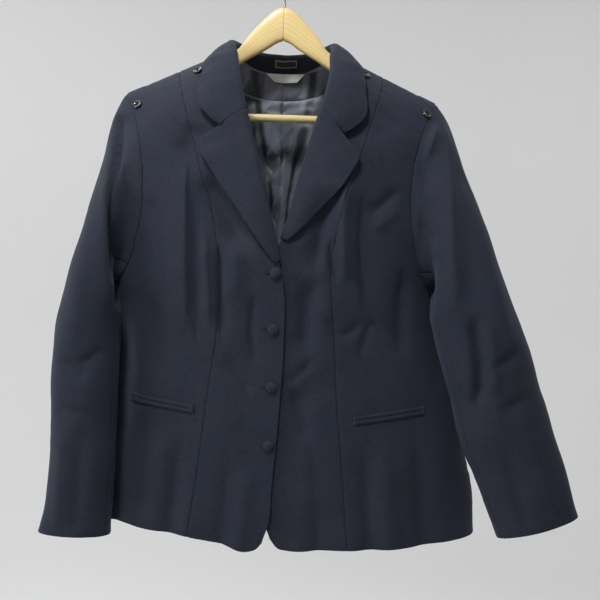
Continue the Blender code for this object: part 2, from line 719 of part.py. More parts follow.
def sleeve_point(side, turn, row):
    """The sleeve's outer face: row runs 0 to 1 from the armhole to the upper arm, 1 to 2 to the cuff."""
    turn = turn % 1.0
    from_top = 1 - np.abs(1 - 2 * turn)
    place = armhole_place(side, turn)
    start = body_point(place[..., 0], place[..., 1])
    normal = body_normal(place[..., 0], place[..., 1])
    step = 1e-3
    before, after = armhole_place(side, turn - step), armhole_place(side, turn + step)
    round_it = body_point(after[..., 0], after[..., 1]) - body_point(before[..., 0], before[..., 1])
    outward = unit(side * np.cross(normal, round_it))
    start = start + (SEAM_GAP + TIP_GAP * (1 - from_top[..., None]) ** TIP_POWER) * outward
    forward = np.where(turn < 0.5, -CAP_FORWARD, CAP_BACKWARD) * np.sin(from_top * pi)
    forward = forward - UNDERARM_FORWARD * from_top**UNDERARM_POWER
    aside = side * CAP_ASIDE[side] * from_top**2
    push = np.stack([aside, forward, -CAP_DROP * (1 - from_top) ** 2], axis=-1)
    first = start + CAP_OUT * outward + push
    end = sleeve_ring(side, turn, np.zeros_like(turn))
    below = sleeve_ring(side, turn, np.full_like(turn, TUBE_HEAD))
    reach_back = CAP_PULL * np.linalg.norm(end - start, axis=-1, keepdims=True)
    second = end - unit(below - end) * reach_back
    t = np.clip(row, 0, 1)[..., None]
    rest = 1 - t
    cap = start * rest**3 + 3 * first * t * rest**2 + 3 * second * t**2 * rest + end * t**3
    return np.where((row <= 1)[..., None], cap, sleeve_ring(side, turn, np.clip(row - 1, 0, 1)))


def sleeve_normal(side, turn, row):
    step = 2e-3
    around = sleeve_point(side, turn + step, row) - sleeve_point(side, turn - step, row)
    lower, upper = np.minimum(row + step, 2), np.maximum(row - step, 0)
    down = sleeve_point(side, turn, lower) - sleeve_point(side, turn, upper)
    own = unit(side * np.cross(around, down))
    place = armhole_place(side, turn % 1.0)
    seam = body_normal(place[..., 0], place[..., 1])
    from_top = 1 - np.abs(1 - 2 * (turn % 1.0))
    near = (1 - ease(row / SEAM_EASE)) * (1 - BEND_SHARE * ease((from_top - BEND_FROM) / BEND_OVER))
    return unit(own * (1 - near[..., None]) + seam * near[..., None])


def add_sleeve(name, side, turns):
    rows = np.concatenate([even(CAP_ROWS) ** CAP_CROWDING, 1 + even(TUBE_ROWS)[1:]])
    row, turn = np.meshgrid(rows, turns, indexing="ij")
    outer = sleeve_point(side, turn, row)
    inner = outer - WALL * sleeve_normal(side, turn, row)
    return add_wall(name, outer, inner, CLOTH)


for side, word in SIDE_NAMES.items():
    upper = np.arange(UPPER_FROM, UPPER_TO + 1) / SLEEVE_COLUMNS
    under = np.arange(UPPER_TO, UPPER_FROM + SLEEVE_COLUMNS + 1) / SLEEVE_COLUMNS
    add_sleeve(f"{word}_upper_sleeve", side, inset(upper, SLEEVE_INSET))
    add_sleeve(f"{word}_under_sleeve", side, inset(under, SLEEVE_INSET))


def add_turned_edge(name, seam, normal, edge, radius, stand, gap):
    """A folded-back edge: up from a seam, over a round roll and down to a free edge."""
    normal = unit(normal)
    away = edge - seam
    away = unit(away - normal * np.sum(away * normal, axis=1, keepdims=True))
    seam = seam - gap * away
    radius, stand = radius[:, None], stand[:, None]
    shown, hidden = [seam - WALL * normal], [seam]
    base = seam - away * stand + normal * radius
    for angle in np.linspace(0, pi, ROLL_STEPS + 1):
        out = -normal * cos(angle) - away * sin(angle)
        shown.append(base + (radius + WALL) * out)
        hidden.append(base + radius * out)
    top = shown[-1]
    for share in even(FALL_STEPS)[1:]:
        point = top * (1 - share) + edge * share + TURN_BELLY * 4 * share * (1 - share) * normal
        shown.append(point)
        hidden.append(point - WALL * normal)
    return add_wall(name, np.stack(shown, axis=1), np.stack(hidden, axis=1), CLOTH)


def row_curves(columns, shares):
    """Smooth rows through the table's rows, each column an array with a row per station."""
    steps = np.linspace(0, 1, len(columns[0]))
    made = []
    for column in columns:
        column = np.asarray(column, float)
        if column.ndim == 1:
            made.append(smooth(steps, column, shares))
        else:
            made.append(np.stack([smooth(steps, column[:, k], shares) for k in range(3)], axis=1))
    return made


def lifted_edge(girth, height, point_of):
    girth, height = np.asarray(girth), np.asarray(height)
    return point_of(girth, height) + (TURN_LIFT + WALL) * body_normal(girth, height, point_of)


def front_edge_girth(side, heights):
    """Where the front's own edge lies at these heights."""
    spots = FRONT_TABLES[side][0][::-1]
    return front_girth(smooth([s.height for s in spots], [s.x for s in spots], heights), heights)


def front_point_of(side):
    return left_front_point if side > 0 else body_point


for side, word in SIDE_NAMES.items():
    table = RIGHT_LAPEL if side < 0 else LEFT_LAPEL
    point_of = front_point_of(side)
    heights, edge_x, edge_height = (np.array(column) for column in zip(*table))
    seam_girth = front_edge_girth(side, heights)
    rise = (heights - heights[0]) / (heights[-1] - heights[0])
    seam, normal, edge, radius, stand = row_curves(
        (
            point_of(seam_girth, heights),
            body_normal(seam_girth, heights, point_of),
            lifted_edge(front_girth(edge_x, edge_height), edge_height, point_of),
            ROLL_RADIUS_BREAK + (ROLL_RADIUS_NECK - ROLL_RADIUS_BREAK) * rise,
            np.full(len(table), RIGHT_COLLAR[0].stand),
        ),
        inset(even(LAPEL_ROWS), LAPEL_INSET),
    )
    add_turned_edge(f"{word}_lapel", seam, normal, edge, radius, stand, LAPEL_GAP)


def collar_half(side):
    """Seam points, normals, free edge and stand from the notch to the middle of the back."""
    made = []
    point_of = front_point_of(side)
    for row in RIGHT_COLLAR if side < 0 else LEFT_COLLAR:
        seam = front_edge_girth(side, row.seam_height)
        edge = front_girth(side * row.edge_out, row.edge_height)
        normal = body_normal(seam, row.seam_height, point_of)
        free = lifted_edge(edge, row.edge_height, point_of)
        made.append((point_of(seam, row.seam_height), normal, free, row.stand))
    for row in (COLLAR_SHOULDER, *COLLAR_BACK):
        seam = back_girth(side, row.seam_out, row.seam_height)
        edge = back_girth(side, row.edge_out, row.edge_height)
        normal = body_normal(seam, row.seam_height)
        free = lifted_edge(edge, row.edge_height, body_point)
        made.append((body_point(seam, row.seam_height), normal, free, row.stand))
    return made


right_half, left_half = collar_half(-1), collar_half(1)
stations = right_half + left_half[-2::-1]
along = np.linspace(-1, 1, len(stations))
from_back = ease((np.abs(along) - COLLAR_GAP_FROM) / COLLAR_GAP_OVER)
gaps = COLLAR_BACK_GAP + (COLLAR_FRONT_GAP - COLLAR_BACK_GAP) * from_back
seam, normal, edge, stand, gap = row_curves(
    (*(np.array([row[k] for row in stations]) for k in range(4)), gaps),
    inset(even(2 * COLLAR_HALF_ROWS), COLLAR_INSET),
)
add_turned_edge("collar", seam, normal, edge, np.full(len(seam), ROLL_RADIUS_NECK), stand, gap[:, None])


def lining_places(side, across, down):
    """The back's lining: under the neck and the shoulder, past the armhole and down the side."""
    top = back_places(side, LINING_TOP)
    armhole = back_places(side, [Spot(spot.x - LINING_IN, spot.height) for spot in LINING_ARMHOLE])
    foot = [(side * LINING_SIDE_GIRTH, UNDERARM_HEIGHT), (side * LINING_SIDE_GIRTH, LINING_HEM_HEIGHT)]
    middle = [(side * 2.0, h) for h in (LINING_TOP[0].height, LINING_MIDDLE, LINING_HEM_HEIGHT)]
    hem = [middle[-1], foot[-1]]
    return patch(
        edge_path(middle),
        joined(edge_path([*armhole, foot[0]]), edge_path(foot), UNDERARM_SHARE),
        edge_path(top),
        edge_path(hem),
        across,
        down,
    )


for side, word in SIDE_NAMES.items():
    places = lining_places(side, inset(even(LINING_COLUMNS)), even(LINING_ROWS))
    add_panel(f"{word}_back_lining", places, LINING_CLOTH, LINING_WALL, sunk=WALL + LINING_GAP)

facing_out, facing_top, facing_bottom = (np.array(column) for column in zip(*FACING))
out = np.linspace(0, facing_out[-1], FACING_COLUMNS + 1)
share = even(FACING_ROWS)[:, None]
height = smooth(facing_out, facing_top, out) * (1 - share) + smooth(facing_out, facing_bottom, out) * share
girth = back_girth(1, out[None, :], height)
facing = np.stack([np.concatenate([girth[:, :0:-1], -girth], axis=1),
                   np.concatenate([height[:, :0:-1], height], axis=1)], axis=-1)
add_panel("neck_facing", facing, CLOTH, LINING_WALL, sunk=WALL + LINING_GAP)

for label in LABELS:
    foot_x = np.linspace(label.x0, label.x1, LABEL_COLUMNS)
    head_x = np.linspace(label.top_x0, label.top_x1, LABEL_COLUMNS)
    sheets = []
    for depth in (0.0, LABEL_WALL):
        foot = [(x, label.bottom_y - depth - label.lean * abs(x), label.bottom) for x in foot_x]
        head = [(x, label.top_y - depth - label.lean * abs(x), label.top) for x in head_x]
        sheets.append(np.array([foot, head]))
    add_wall(label.name, *sheets, label.look)

for side, word in SIDE_NAMES.items():
    pocket = POCKETS[side]
    shares = even(WELT_COLUMNS)
    x = pocket.x0 + (pocket.x1 - pocket.x0) * shares
    middle = pocket.height0 + (pocket.height1 - pocket.height0) * shares
    for place, direction in (("upper", 1), ("lower", -1)):
        edges = np.array([WELT_HALF_GAP, WELT_HALF_GAP + WELT_HEIGHT]) * direction
        height = middle[None, :] + edges[:, None]
        girth = front_girth(np.broadcast_to(x, height.shape), height)
        surface, normal = body_point(girth, height), body_normal(girth, height)
        outer = surface + (WELT_GAP + WELT_WALL) * normal
        add_wall(f"{word}_pocket_{place}_welt", outer, surface + WELT_GAP * normal, CLOTH)


def turned(name, profile, steps, look):
    """A solid turned about its own Z axis from (distance out, height) points."""
    mesh = bpy.data.meshes.new(name)
    edges = [(k, k + 1) for k in range(len(profile) - 1)]
    mesh.from_pydata([(r, 0.0, z) for r, z in profile], edges, [])
    made = bpy.data.objects.new(name, mesh)
    jacket.objects.link(made)
    screw = made.modifiers.new("turn", "SCREW")
    screw.steps = screw.render_steps = steps
    screw.use_merge_vertices = True
    screw.merge_threshold = MERGE
    screw.use_normal_calculate = True
    mesh.materials.append(material(name, *look))
    return made


def seat_button(made, spot):
    """Set a button on the front's cloth, facing out."""
    girth = front_girth(spot.x, spot.height)
    normal = Vector(body_normal(girth, spot.height))
    place = Vector(body_point(girth, spot.height)) + normal * BUTTON_GAP
    made.matrix_world = Matrix.Translation(place) @ normal.to_track_quat("Z", "Y").to_matrix().to_4x4()


for number, spot in enumerate(FRONT_BUTTON_SPOTS, 1):
    seat_button(turned(f"front_button_{number}", COVERED_BUTTON, BUTTON_STEPS, BUTTON_CLOTH), spot)
for number, spot in enumerate(STRAP_BUTTON_SPOTS, 1):
    seat_button(turned(f"strap_button_{number}", STRAP_BUTTON, BUTTON_STEPS, BLACK_RESIN), spot)


def straight_rod(name, start, end, radius, sides, collection):
    """A straight round rod between two points."""
    start, end = Vector(start), Vector(end)
    bpy.ops.mesh.primitive_cylinder_add(vertices=sides, radius=radius, depth=(end - start).length)
    rod = bpy.context.object
    rod.name = name
    rod.matrix_world = (
        Matrix.Translation((start + end) / 2) @ (end - start).to_track_quat("Z", "Y").to_matrix().to_4x4()
    )
    for holder in list(rod.users_collection):
        holder.objects.unlink(rod)
    collection.objects.link(rod)
    return rod


guides = bpy.data.collections.new("guides")
bpy.context.scene.collection.children.link(guides)

rings = []
for side in (-1, 1):
    stations_out = ARM_STATIONS[:0:-1] if side < 0 else ARM_STATIONS
    for station in stations_out:
        middle, half_height = (station.top + station.bottom) / 2, (station.top - station.bottom) / 2
        ring = []
        for k in range(ARM_RING):
            angle = 2 * pi * (k + 0.5) / ARM_RING
            y, z = cos(angle), sin(angle)
            y = station.half_thickness * np.sign(y) * abs(y) ** ARM_SQUARENESS
            z = middle + half_height * np.sign(z) * abs(z) ** ARM_SQUARENESS
            ring.append((side * station.out, y, z))
        rings.append(ring)
faces = []
for r in range(len(rings) - 1):
    for k in range(ARM_RING):
        nxt = (k + 1) % ARM_RING
        low, high = r * ARM_RING, (r + 1) * ARM_RING
        faces.append((low + k, low + nxt, high + nxt, high + k))
faces.append(tuple(range(ARM_RING)))
faces.append(tuple(range((len(rings) - 1) * ARM_RING, len(rings) * ARM_RING)))
BORE_REACH = BAR_REACH + FIT_GAP
arms = add_mesh("hanger_arms", [p for ring in rings for p in ring], faces, WOOD)
for name, start, end, radius in (
    ("bar_bore", (-BORE_REACH, 0, BAR_HEIGHT), (BORE_REACH, 0, BAR_HEIGHT), BAR_RADIUS),
    ("stem_bore", (0, 0, STEM_FOOT - FIT_GAP), (0, 0, -BORE_CLEAR), WIRE_RADIUS),
):
    rod = straight_rod(name, start, end, radius + FIT_GAP, BORE_SIDES, guides)
    rod.hide_render = True
    rod.display_type = "WIRE"
    cut = arms.modifiers.new(name, "BOOLEAN")
    cut.operation = "DIFFERENCE"
    cut.solver = "EXACT"
    cut.object = rod

bar_ends = (-BAR_REACH, 0, BAR_HEIGHT), (BAR_REACH, 0, BAR_HEIGHT)
bar = straight_rod("trouser_bar", *bar_ends, BAR_RADIUS, BAR_SIDES, jacket)
bar.data.materials.append(material("trouser_bar", *WOOD))

wire = bpy.data.curves.new("hook", "CURVE")
wire.dimensions = "3D"
wire.bevel_depth = WIRE_RADIUS
wire.bevel_resolution = WIRE_ROUNDNESS
wire.use_fill_caps = True
path = [(x, 0.0, z) for x, z in STEM]
centre = WIRE_RADIUS - HOOK_RADIUS
for degrees in range(0, HOOK_END_ANGLE + 1, HOOK_STEP_ANGLE):
    turn = radians(degrees)
    path.append((HOOK_RADIUS * cos(turn), 0.0, centre + HOOK_RADIUS * sin(turn)))
spline = wire.splines.new("POLY")
spline.points.add(len(path) - 1)
for point, place in zip(spline.points, path):
    point.co = (*place, 1.0)
hook = bpy.data.objects.new("hook", wire)
wire.materials.append(material("hook", *STEEL))
jacket.objects.link(hook)
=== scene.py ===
from math import cos, pi, radians, sin

import bpy
import numpy as np
from mathutils import Matrix, Vector


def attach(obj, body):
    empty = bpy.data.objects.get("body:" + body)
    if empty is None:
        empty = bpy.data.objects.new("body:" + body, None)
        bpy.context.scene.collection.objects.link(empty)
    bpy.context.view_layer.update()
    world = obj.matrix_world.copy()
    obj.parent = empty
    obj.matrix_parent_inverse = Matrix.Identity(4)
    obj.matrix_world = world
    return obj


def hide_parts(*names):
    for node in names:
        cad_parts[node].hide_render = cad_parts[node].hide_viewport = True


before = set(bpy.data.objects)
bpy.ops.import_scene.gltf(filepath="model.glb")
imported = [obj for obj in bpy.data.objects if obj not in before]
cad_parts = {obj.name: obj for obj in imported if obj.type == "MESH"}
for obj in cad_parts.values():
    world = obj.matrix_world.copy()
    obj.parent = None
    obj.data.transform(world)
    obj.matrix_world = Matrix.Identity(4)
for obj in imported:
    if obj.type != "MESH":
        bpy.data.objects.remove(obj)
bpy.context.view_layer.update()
scene = bpy.context.scene
print("frame loaded:", len(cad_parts), "solids")


def smoothCurve(xs, ys, x):
    # smooth curve through the points (xs rising), held at its ends beyond them
    xs, ys = np.asarray(xs, float), np.asarray(ys, float)
    gaps = np.diff(xs)
    slopes = np.diff(ys) / gaps
    tangents = np.empty_like(ys)
    tangents[0], tangents[-1] = slopes[0], slopes[-1]
    tangents[1:-1] = (slopes[:-1] * gaps[1:] + slopes[1:] * gaps[:-1]) / (gaps[1:] + gaps[:-1])
    x = np.clip(x, xs[0], xs[-1])
    i = np.clip(np.searchsorted(xs, x, side="right") - 1, 0, len(gaps) - 1)
    gap = gaps[i]
    t = (x - xs[i]) / gap
    rest = 1 - t
    ends = ys[i] * rest**2 * (1 + 2 * t) + ys[i + 1] * t**2 * (1 + 2 * rest)
    return ends + tangents[i] * gap * t * rest**2 - tangents[i + 1] * gap * t**2 * rest


def ease(t):
    t = np.clip(t, 0, 1)
    return t * t * (3 - 2 * t)


def unit(vectors):
    return vectors / np.maximum(np.linalg.norm(vectors, axis=-1, keepdims=True), 1e-12)


def crowdedShares(count, crowd):
    # shares from 0 to 1 that lie closer together at both ends
    t = np.linspace(0, 1, count + 1)
    return t - crowd * np.sin(2 * pi * t) / (2 * pi)


def drawnIn(shares, amount):
    shares = np.array(shares, float)
    shares[0] += amount
    shares[-1] -= amount
    return shares


def waves(seed, count, shortest, longest):
    # a fixed set of random plane waves, used as a smooth unevenness over cloth
    random = np.random.default_rng(seed)
    size = np.exp(random.uniform(np.log(shortest), np.log(longest), count))
    angle = random.uniform(0, 2 * pi, count)
    phase = random.uniform(0, 2 * pi, count)
    return np.cos(angle) / size, np.sin(angle) / size, phase, size / size.max()


def waveRise(x, z, made):
    rise = np.zeros(np.broadcast(x, z).shape)
    for a, b, phase, weight in zip(*made):
        rise += weight * np.sin(2 * pi * (a * x + b * z) + phase)
    return rise / np.sqrt(len(made[0]))


# height, reach to the wearer's right and left, depth in front of and behind the hanger
bodyLevels = np.array([
    (-0.840, 0.252, 0.2960, 0.086, 0.054), (-0.790, 0.247, 0.2888, 0.085, 0.052),
    (-0.720, 0.238, 0.2810, 0.081, 0.048), (-0.650, 0.230, 0.2645, 0.078, 0.046),
    (-0.565, 0.2235, 0.2410, 0.077, 0.045), (-0.510, 0.2205, 0.2265, 0.080, 0.047),
    (-0.463, 0.2190, 0.2190, 0.084, 0.050), (-0.400, 0.2215, 0.2215, 0.085, 0.053),
    (-0.300, 0.2335, 0.2335, 0.077, 0.054), (-0.200, 0.2500, 0.2500, 0.062, 0.050),
    (-0.110, 0.2620, 0.2620, 0.052, 0.045),
])
body = {
    "wall": 0.0018,
    "liningWall": 0.0010,
    "liningGap": 0.0012,
    "edgeRound": 0.0004,
    "seamLap": 0.0005,
    "seamGap": 0.0003,
    "shoulderOut": 0.100,
    "shoulderHeight": -0.144,
    "shoulderSlope": 0.465,
    "tipOut": 0.2178,
    "neckOut": 0.072,
    "frontCap": 0.085,
    "backCap": 0.070,
    "tuck": 0.0046,
    "underarm": -0.463,
    "backHem": -0.7960,
    "sideHem": {-1: -0.7880, 1: -0.7885},
    "nape": -0.152,
    "hemTurnUp": 0.035,
    "tuckFrom": 0.070,
    "tuckOver": 0.040,
    "capRound": 0.70,
    "sectionRound": 0.80,
    "frontRows": (110, 110),
    "centreColumns": 64,
    "sideColumns": 84,
    "backColumns": 84,
}
princess = {
    -1: [(-0.1435, -0.1642), (-0.1300, -0.2150), (-0.1050, -0.3000), (-0.0830, -0.3700),
         (-0.0705, -0.4450), (-0.0725, -0.5250), (-0.0815, -0.6000), (-0.0905, -0.6950),
         (-0.1020, -0.7935)],
    1: [(0.1420, -0.1635), (0.1300, -0.2150), (0.1050, -0.3000), (0.0850, -0.3620),
        (0.0765, -0.4250), (0.0815, -0.5150), (0.0885, -0.6050), (0.0975, -0.6900),
        (0.1090, -0.8042)],
}
frontEdge = {
    -1: [(-0.0720, -0.1310), (-0.0630, -0.1780), (-0.0490, -0.2350), (-0.0290, -0.3080),
         (-0.0070, -0.3850), (0.0035, -0.4220), (0.0125, -0.4560), (0.0160, -0.5430),
         (0.0125, -0.6350), (0.0070, -0.7200), (0.0032, -0.7760), (-0.0040, -0.7975)],
    1: [(0.0720, -0.1310), (0.0715, -0.1780), (0.0575, -0.2380), (0.0375, -0.3080),
        (0.0155, -0.3850), (0.0020, -0.4150), (-0.0100, -0.4400), (-0.0140, -0.5200),
        (-0.0140, -0.6350), (-0.0110, -0.7150), (-0.0030, -0.7650), (0.0075, -0.7930)],
}
frontHem = {
    -1: [(-0.0040, -0.7975), (-0.0110, -0.8050), (-0.0220, -0.8085), (-0.0600, -0.8005),
         (-0.1020, -0.7935)],
    1: [(0.0075, -0.7930), (0.0170, -0.8040), (0.0320, -0.8070), (0.0700, -0.8050),
        (0.1090, -0.8042)],
}
sideFrontHem = {
    -1: [(-0.1020, -0.7935), (-0.1500, -0.7880), (-0.2050, -0.7860)],
    1: [(0.1090, -0.8042), (0.1800, -0.8020), (0.2350, -0.7955)],
}
frontArmhole = [(0.2178, -0.1988), (0.2060, -0.2190), (0.1920, -0.2553), (0.1825, -0.3000),
                (0.1805, -0.3450), (0.1850, -0.3900), (0.1955, -0.4290), (0.2080, -0.4540)]
backArmhole = [(0.2178, -0.1988), (0.2060, -0.2240), (0.1965, -0.2700), (0.1925, -0.3200),
               (0.1920, -0.3700), (0.1960, -0.4150), (0.2060, -0.4460)]
backNeck = [(0.0000, -0.1520), (0.0350, -0.1480), (0.0600, -0.1375)]

# Folds: rise, width on the side towards -X (or below), width on the side towards +X (or above),
# how sharp the crest is (2 soft, 1 sharp), how much of each end fades, then the path (x, height)
frontFolds = [
    (0.0034, 0.026, 0.0020, 1.5, 0.20, 0.30,
     [(-0.1205, -0.290), (-0.1178, -0.360), (-0.1152, -0.430), (-0.1112, -0.540)]),
    (-0.0026, 0.0040, 0.0150, 1.7, 0.20, 0.30,
     [(-0.1110, -0.330), (-0.1070, -0.400), (-0.1030, -0.480), (-0.0970, -0.560)]),
    (-0.0034, 0.0200, 0.0160, 2.2, 0.35, 0.30,
     [(-0.1360, -0.2960), (-0.1220, -0.2820), (-0.1120, -0.2620), (-0.1060, -0.2440)]),
    (-0.0074, 0.0200, 0.0090, 2.0, 0.25, 0.35,
     [(-0.0950, -0.310), (-0.0720, -0.352), (-0.0500, -0.388), (-0.0280, -0.425)]),
    (-0.0030, 0.0100, 0.0140, 1.9, 0.30, 0.30, [(-0.1560, -0.470), (-0.1500, -0.540), (-0.1420, -0.610)]),
    (0.0030, 0.0080, 0.0060, 1.6, 0.30, 0.30, [(-0.093, -0.378), (-0.087, -0.456), (-0.081, -0.530)]),
    (-0.0042, 0.0040, 0.0110, 1.6, 0.25, 0.30, [(-0.0740, -0.400), (-0.0705, -0.468), (-0.0650, -0.545)]),
    (0.0030, 0.0130, 0.0120, 2.0, 0.35, 0.35, [(-0.053, -0.395), (-0.049, -0.490)]),
    (-0.0020, 0.0050, 0.0080, 1.6, 0.30, 0.30,
     [(-0.022, -0.460), (-0.028, -0.515), (-0.024, -0.545), (-0.015, -0.572)]),
    (-0.0019, 0.0090, 0.0050, 1.5, 0.35, 0.25, [(-0.063, -0.545), (-0.042, -0.576), (-0.020, -0.606)]),
    (-0.0016, 0.0080, 0.0060, 1.6, 0.35, 0.25, [(-0.050, -0.640), (-0.024, -0.658), (-0.004, -0.672)]),
    (-0.0020, 0.0070, 0.0050, 1.5, 0.30, 0.40, [(-0.176, -0.345), (-0.158, -0.372), (-0.139, -0.410)]),
    (0.0022, 0.0160, 0.0160, 2.0, 0.30, 0.10, [(-0.138, -0.640), (-0.142, -0.715), (-0.150, -0.800)]),
    (-0.0032, 0.0120, 0.0150, 1.9, 0.35, 0.00, [(-0.116, -0.655), (-0.121, -0.735), (-0.128, -0.810)]),
    (-0.0026, 0.0110, 0.0160, 1.9, 0.30, 0.00, [(-0.176, -0.630), (-0.181, -0.720), (-0.186, -0.800)]),
    (-0.0022, 0.0100, 0.0170, 1.8, 0.35, 0.00, [(-0.050, -0.672), (-0.052, -0.740), (-0.058, -0.815)]),
    (0.0020, 0.0150, 0.0110, 2.0, 0.30, 0.10, [(-0.026, -0.690), (-0.030, -0.760), (-0.036, -0.815)]),
    (-0.0058, 0.0130, 0.0085, 1.8, 0.25, 0.35, [(0.0700, -0.335), (0.0600, -0.385), (0.0520, -0.450)]),
    (0.0062, 0.0070, 0.0150, 1.8, 0.30, 0.28,
     [(0.0960, -0.290), (0.0880, -0.345), (0.0890, -0.400), (0.0940, -0.465)]),
    (-0.0050, 0.0140, 0.0120, 2.0, 0.30, 0.30, [(0.0520, -0.4400), (0.0440, -0.5000), (0.0400, -0.5600)]),
    (-0.0040, 0.0050, 0.0140, 1.7, 0.30, 0.30,
     [(0.1150, -0.330), (0.1130, -0.390), (0.1180, -0.450), (0.1260, -0.500)]),
    (-0.0034, 0.0080, 0.0120, 1.8, 0.30, 0.30, [(0.1750, -0.420), (0.1700, -0.490), (0.1740, -0.560)]),
    (-0.0028, 0.0100, 0.0100, 1.9, 0.30, 0.30, [(0.0300, -0.5900), (0.0420, -0.6350), (0.0600, -0.6650)]),
    (-0.0032, 0.0070, 0.0032, 1.4, 0.30, 0.35, [(0.072, -0.395), (0.077, -0.425), (0.086, -0.458)]),
    (-0.0026, 0.0100, 0.0060, 1.6, 0.25, 0.35, [(0.166, -0.325), (0.143, -0.346), (0.120, -0.367)]),
    (0.0018, 0.0080, 0.0080, 1.8, 0.30, 0.35, [(0.168, -0.350), (0.146, -0.368), (0.124, -0.386)]),
    (-0.0018, 0.0060, 0.0080, 1.6, 0.30, 0.30, [(0.132, -0.498), (0.125, -0.522), (0.117, -0.552)]),
    (-0.0020, 0.0060, 0.0090, 1.5, 0.25, 0.25,
     [(0.067, -0.498), (0.080, -0.515), (0.094, -0.523), (0.110, -0.514), (0.124, -0.499)]),
    (-0.0017, 0.0080, 0.0050, 1.6, 0.35, 0.30, [(0.060, -0.552), (0.040, -0.574), (0.022, -0.592)]),
    (0.0026, 0.0170, 0.0170, 2.0, 0.35, 0.10, [(0.150, -0.655), (0.158, -0.730), (0.168, -0.815)]),
    (-0.0034, 0.0150, 0.0140, 1.9, 0.35, 0.00, [(0.128, -0.665), (0.135, -0.740), (0.142, -0.820)]),
    (-0.0028, 0.0120, 0.0180, 1.9, 0.35, 0.00, [(0.196, -0.640), (0.206, -0.725), (0.214, -0.815)]),
    (-0.0024, 0.0120, 0.0150, 1.8, 0.35, 0.00, [(0.060, -0.650), (0.066, -0.740), (0.070, -0.820)]),
    (0.0018, 0.0140, 0.0120, 2.0, 0.35, 0.20, [(0.036, -0.470), (0.034, -0.540), (0.038, -0.620)]),
    (-0.0016, 0.0070, 0.0070, 1.6, 0.30, 0.30, [(0.128, -0.205), (0.146, -0.232), (0.166, -0.248)]),
]
backFolds = [
    (-0.0045, 0.0140, 0.0090, 1.8, 0.30, 0.30,
     [(-0.118, -0.300), (-0.110, -0.400), (-0.098, -0.500), (-0.092, -0.590)]),
    (0.0035, 0.0120, 0.0100, 1.8, 0.30, 0.30, [(-0.094, -0.330), (-0.084, -0.430), (-0.074, -0.540)]),
    (-0.0030, 0.0090, 0.0120, 1.8, 0.35, 0.30, [(-0.056, -0.370), (-0.050, -0.460), (-0.048, -0.560)]),
    (-0.0050, 0.0090, 0.0150, 1.8, 0.30, 0.30,
     [(0.112, -0.290), (0.104, -0.390), (0.096, -0.490), (0.094, -0.600)]),
    (0.0036, 0.0110, 0.0120, 1.9, 0.30, 0.30, [(0.086, -0.335), (0.078, -0.440), (0.072, -0.550)]),
    (-0.0028, 0.0120, 0.0080, 1.8, 0.35, 0.30, [(0.048, -0.380), (0.046, -0.470), (0.050, -0.560)]),
    (-0.0022, 0.0080, 0.0060, 1.6, 0.30, 0.30, [(-0.170, -0.400), (-0.140, -0.440), (-0.108, -0.462)]),
    (-0.0022, 0.0060, 0.0080, 1.6, 0.30, 0.30, [(0.170, -0.385), (0.142, -0.428), (0.112, -0.455)]),
    (-0.0020, 0.0070, 0.0090, 1.6, 0.30, 0.30,
     [(-0.070, -0.505), (-0.030, -0.520), (0.018, -0.514), (0.060, -0.500)]),
    (-0.0018, 0.0060, 0.0090, 1.6, 0.30, 0.30, [(-0.050, -0.560), (-0.006, -0.548), (0.040, -0.556)]),
    (-0.0034, 0.0160, 0.0130, 1.9, 0.30, 0.00, [(-0.098, -0.610), (-0.106, -0.700), (-0.116, -0.810)]),
    (0.0026, 0.0170, 0.0170, 2.0, 0.30, 0.10, [(-0.066, -0.620), (-0.070, -0.710), (-0.078, -0.810)]),
    (-0.0030, 0.0140, 0.0150, 1.9, 0.30, 0.00, [(-0.170, -0.600), (-0.180, -0.700), (-0.190, -0.800)]),
    (-0.0034, 0.0140, 0.0160, 1.9, 0.30, 0.00, [(0.104, -0.620), (0.116, -0.710), (0.130, -0.820)]),
    (0.0026, 0.0160, 0.0170, 2.0, 0.30, 0.10, [(0.070, -0.630), (0.078, -0.720), (0.086, -0.820)]),
    (-0.0032, 0.0150, 0.0150, 1.9, 0.30, 0.00, [(0.190, -0.610), (0.206, -0.710), (0.220, -0.810)]),
    (-0.0018, 0.0080, 0.0080, 1.7, 0.30, 0.30, [(-0.120, -0.205), (-0.146, -0.236), (-0.176, -0.262)]),
    (-0.0018, 0.0080, 0.0080, 1.7, 0.30, 0.30, [(0.118, -0.208), (0.142, -0.240), (0.174, -0.270)]),
]
softSwell = waves(3, 16, 0.050, 0.150)
smallSwell = waves(7, 22, 0.014, 0.034)
unevenness = {
    "soft": 0.0016, "small": 0.00020, "foldDepth": 1.75, "turnFade": 0.25, "backShift": 0.37,
    "hemFrom": -0.735, "hemOver": 0.070, "shoulderOver": 0.045,
    "sleeveSoft": 0.0015, "sleeveSmall": 0.00016, "sleeveFade": 0.45, "sleeveBackShift": 0.31,
}
# length over a radian, shift, height
hemWaves = [(0.019, 1.3, 0.0012), (0.0113, 4.1, 0.0006)]


def densePath(path):
    path = np.asarray(path, float)
    steps = np.linspace(0, 1, len(path))
    fine = np.linspace(0, 1, 3 * (len(path) - 1) + 1)
    return np.stack([smoothCurve(steps, path[:, 0], fine), smoothCurve(steps, path[:, 1], fine)], axis=1)


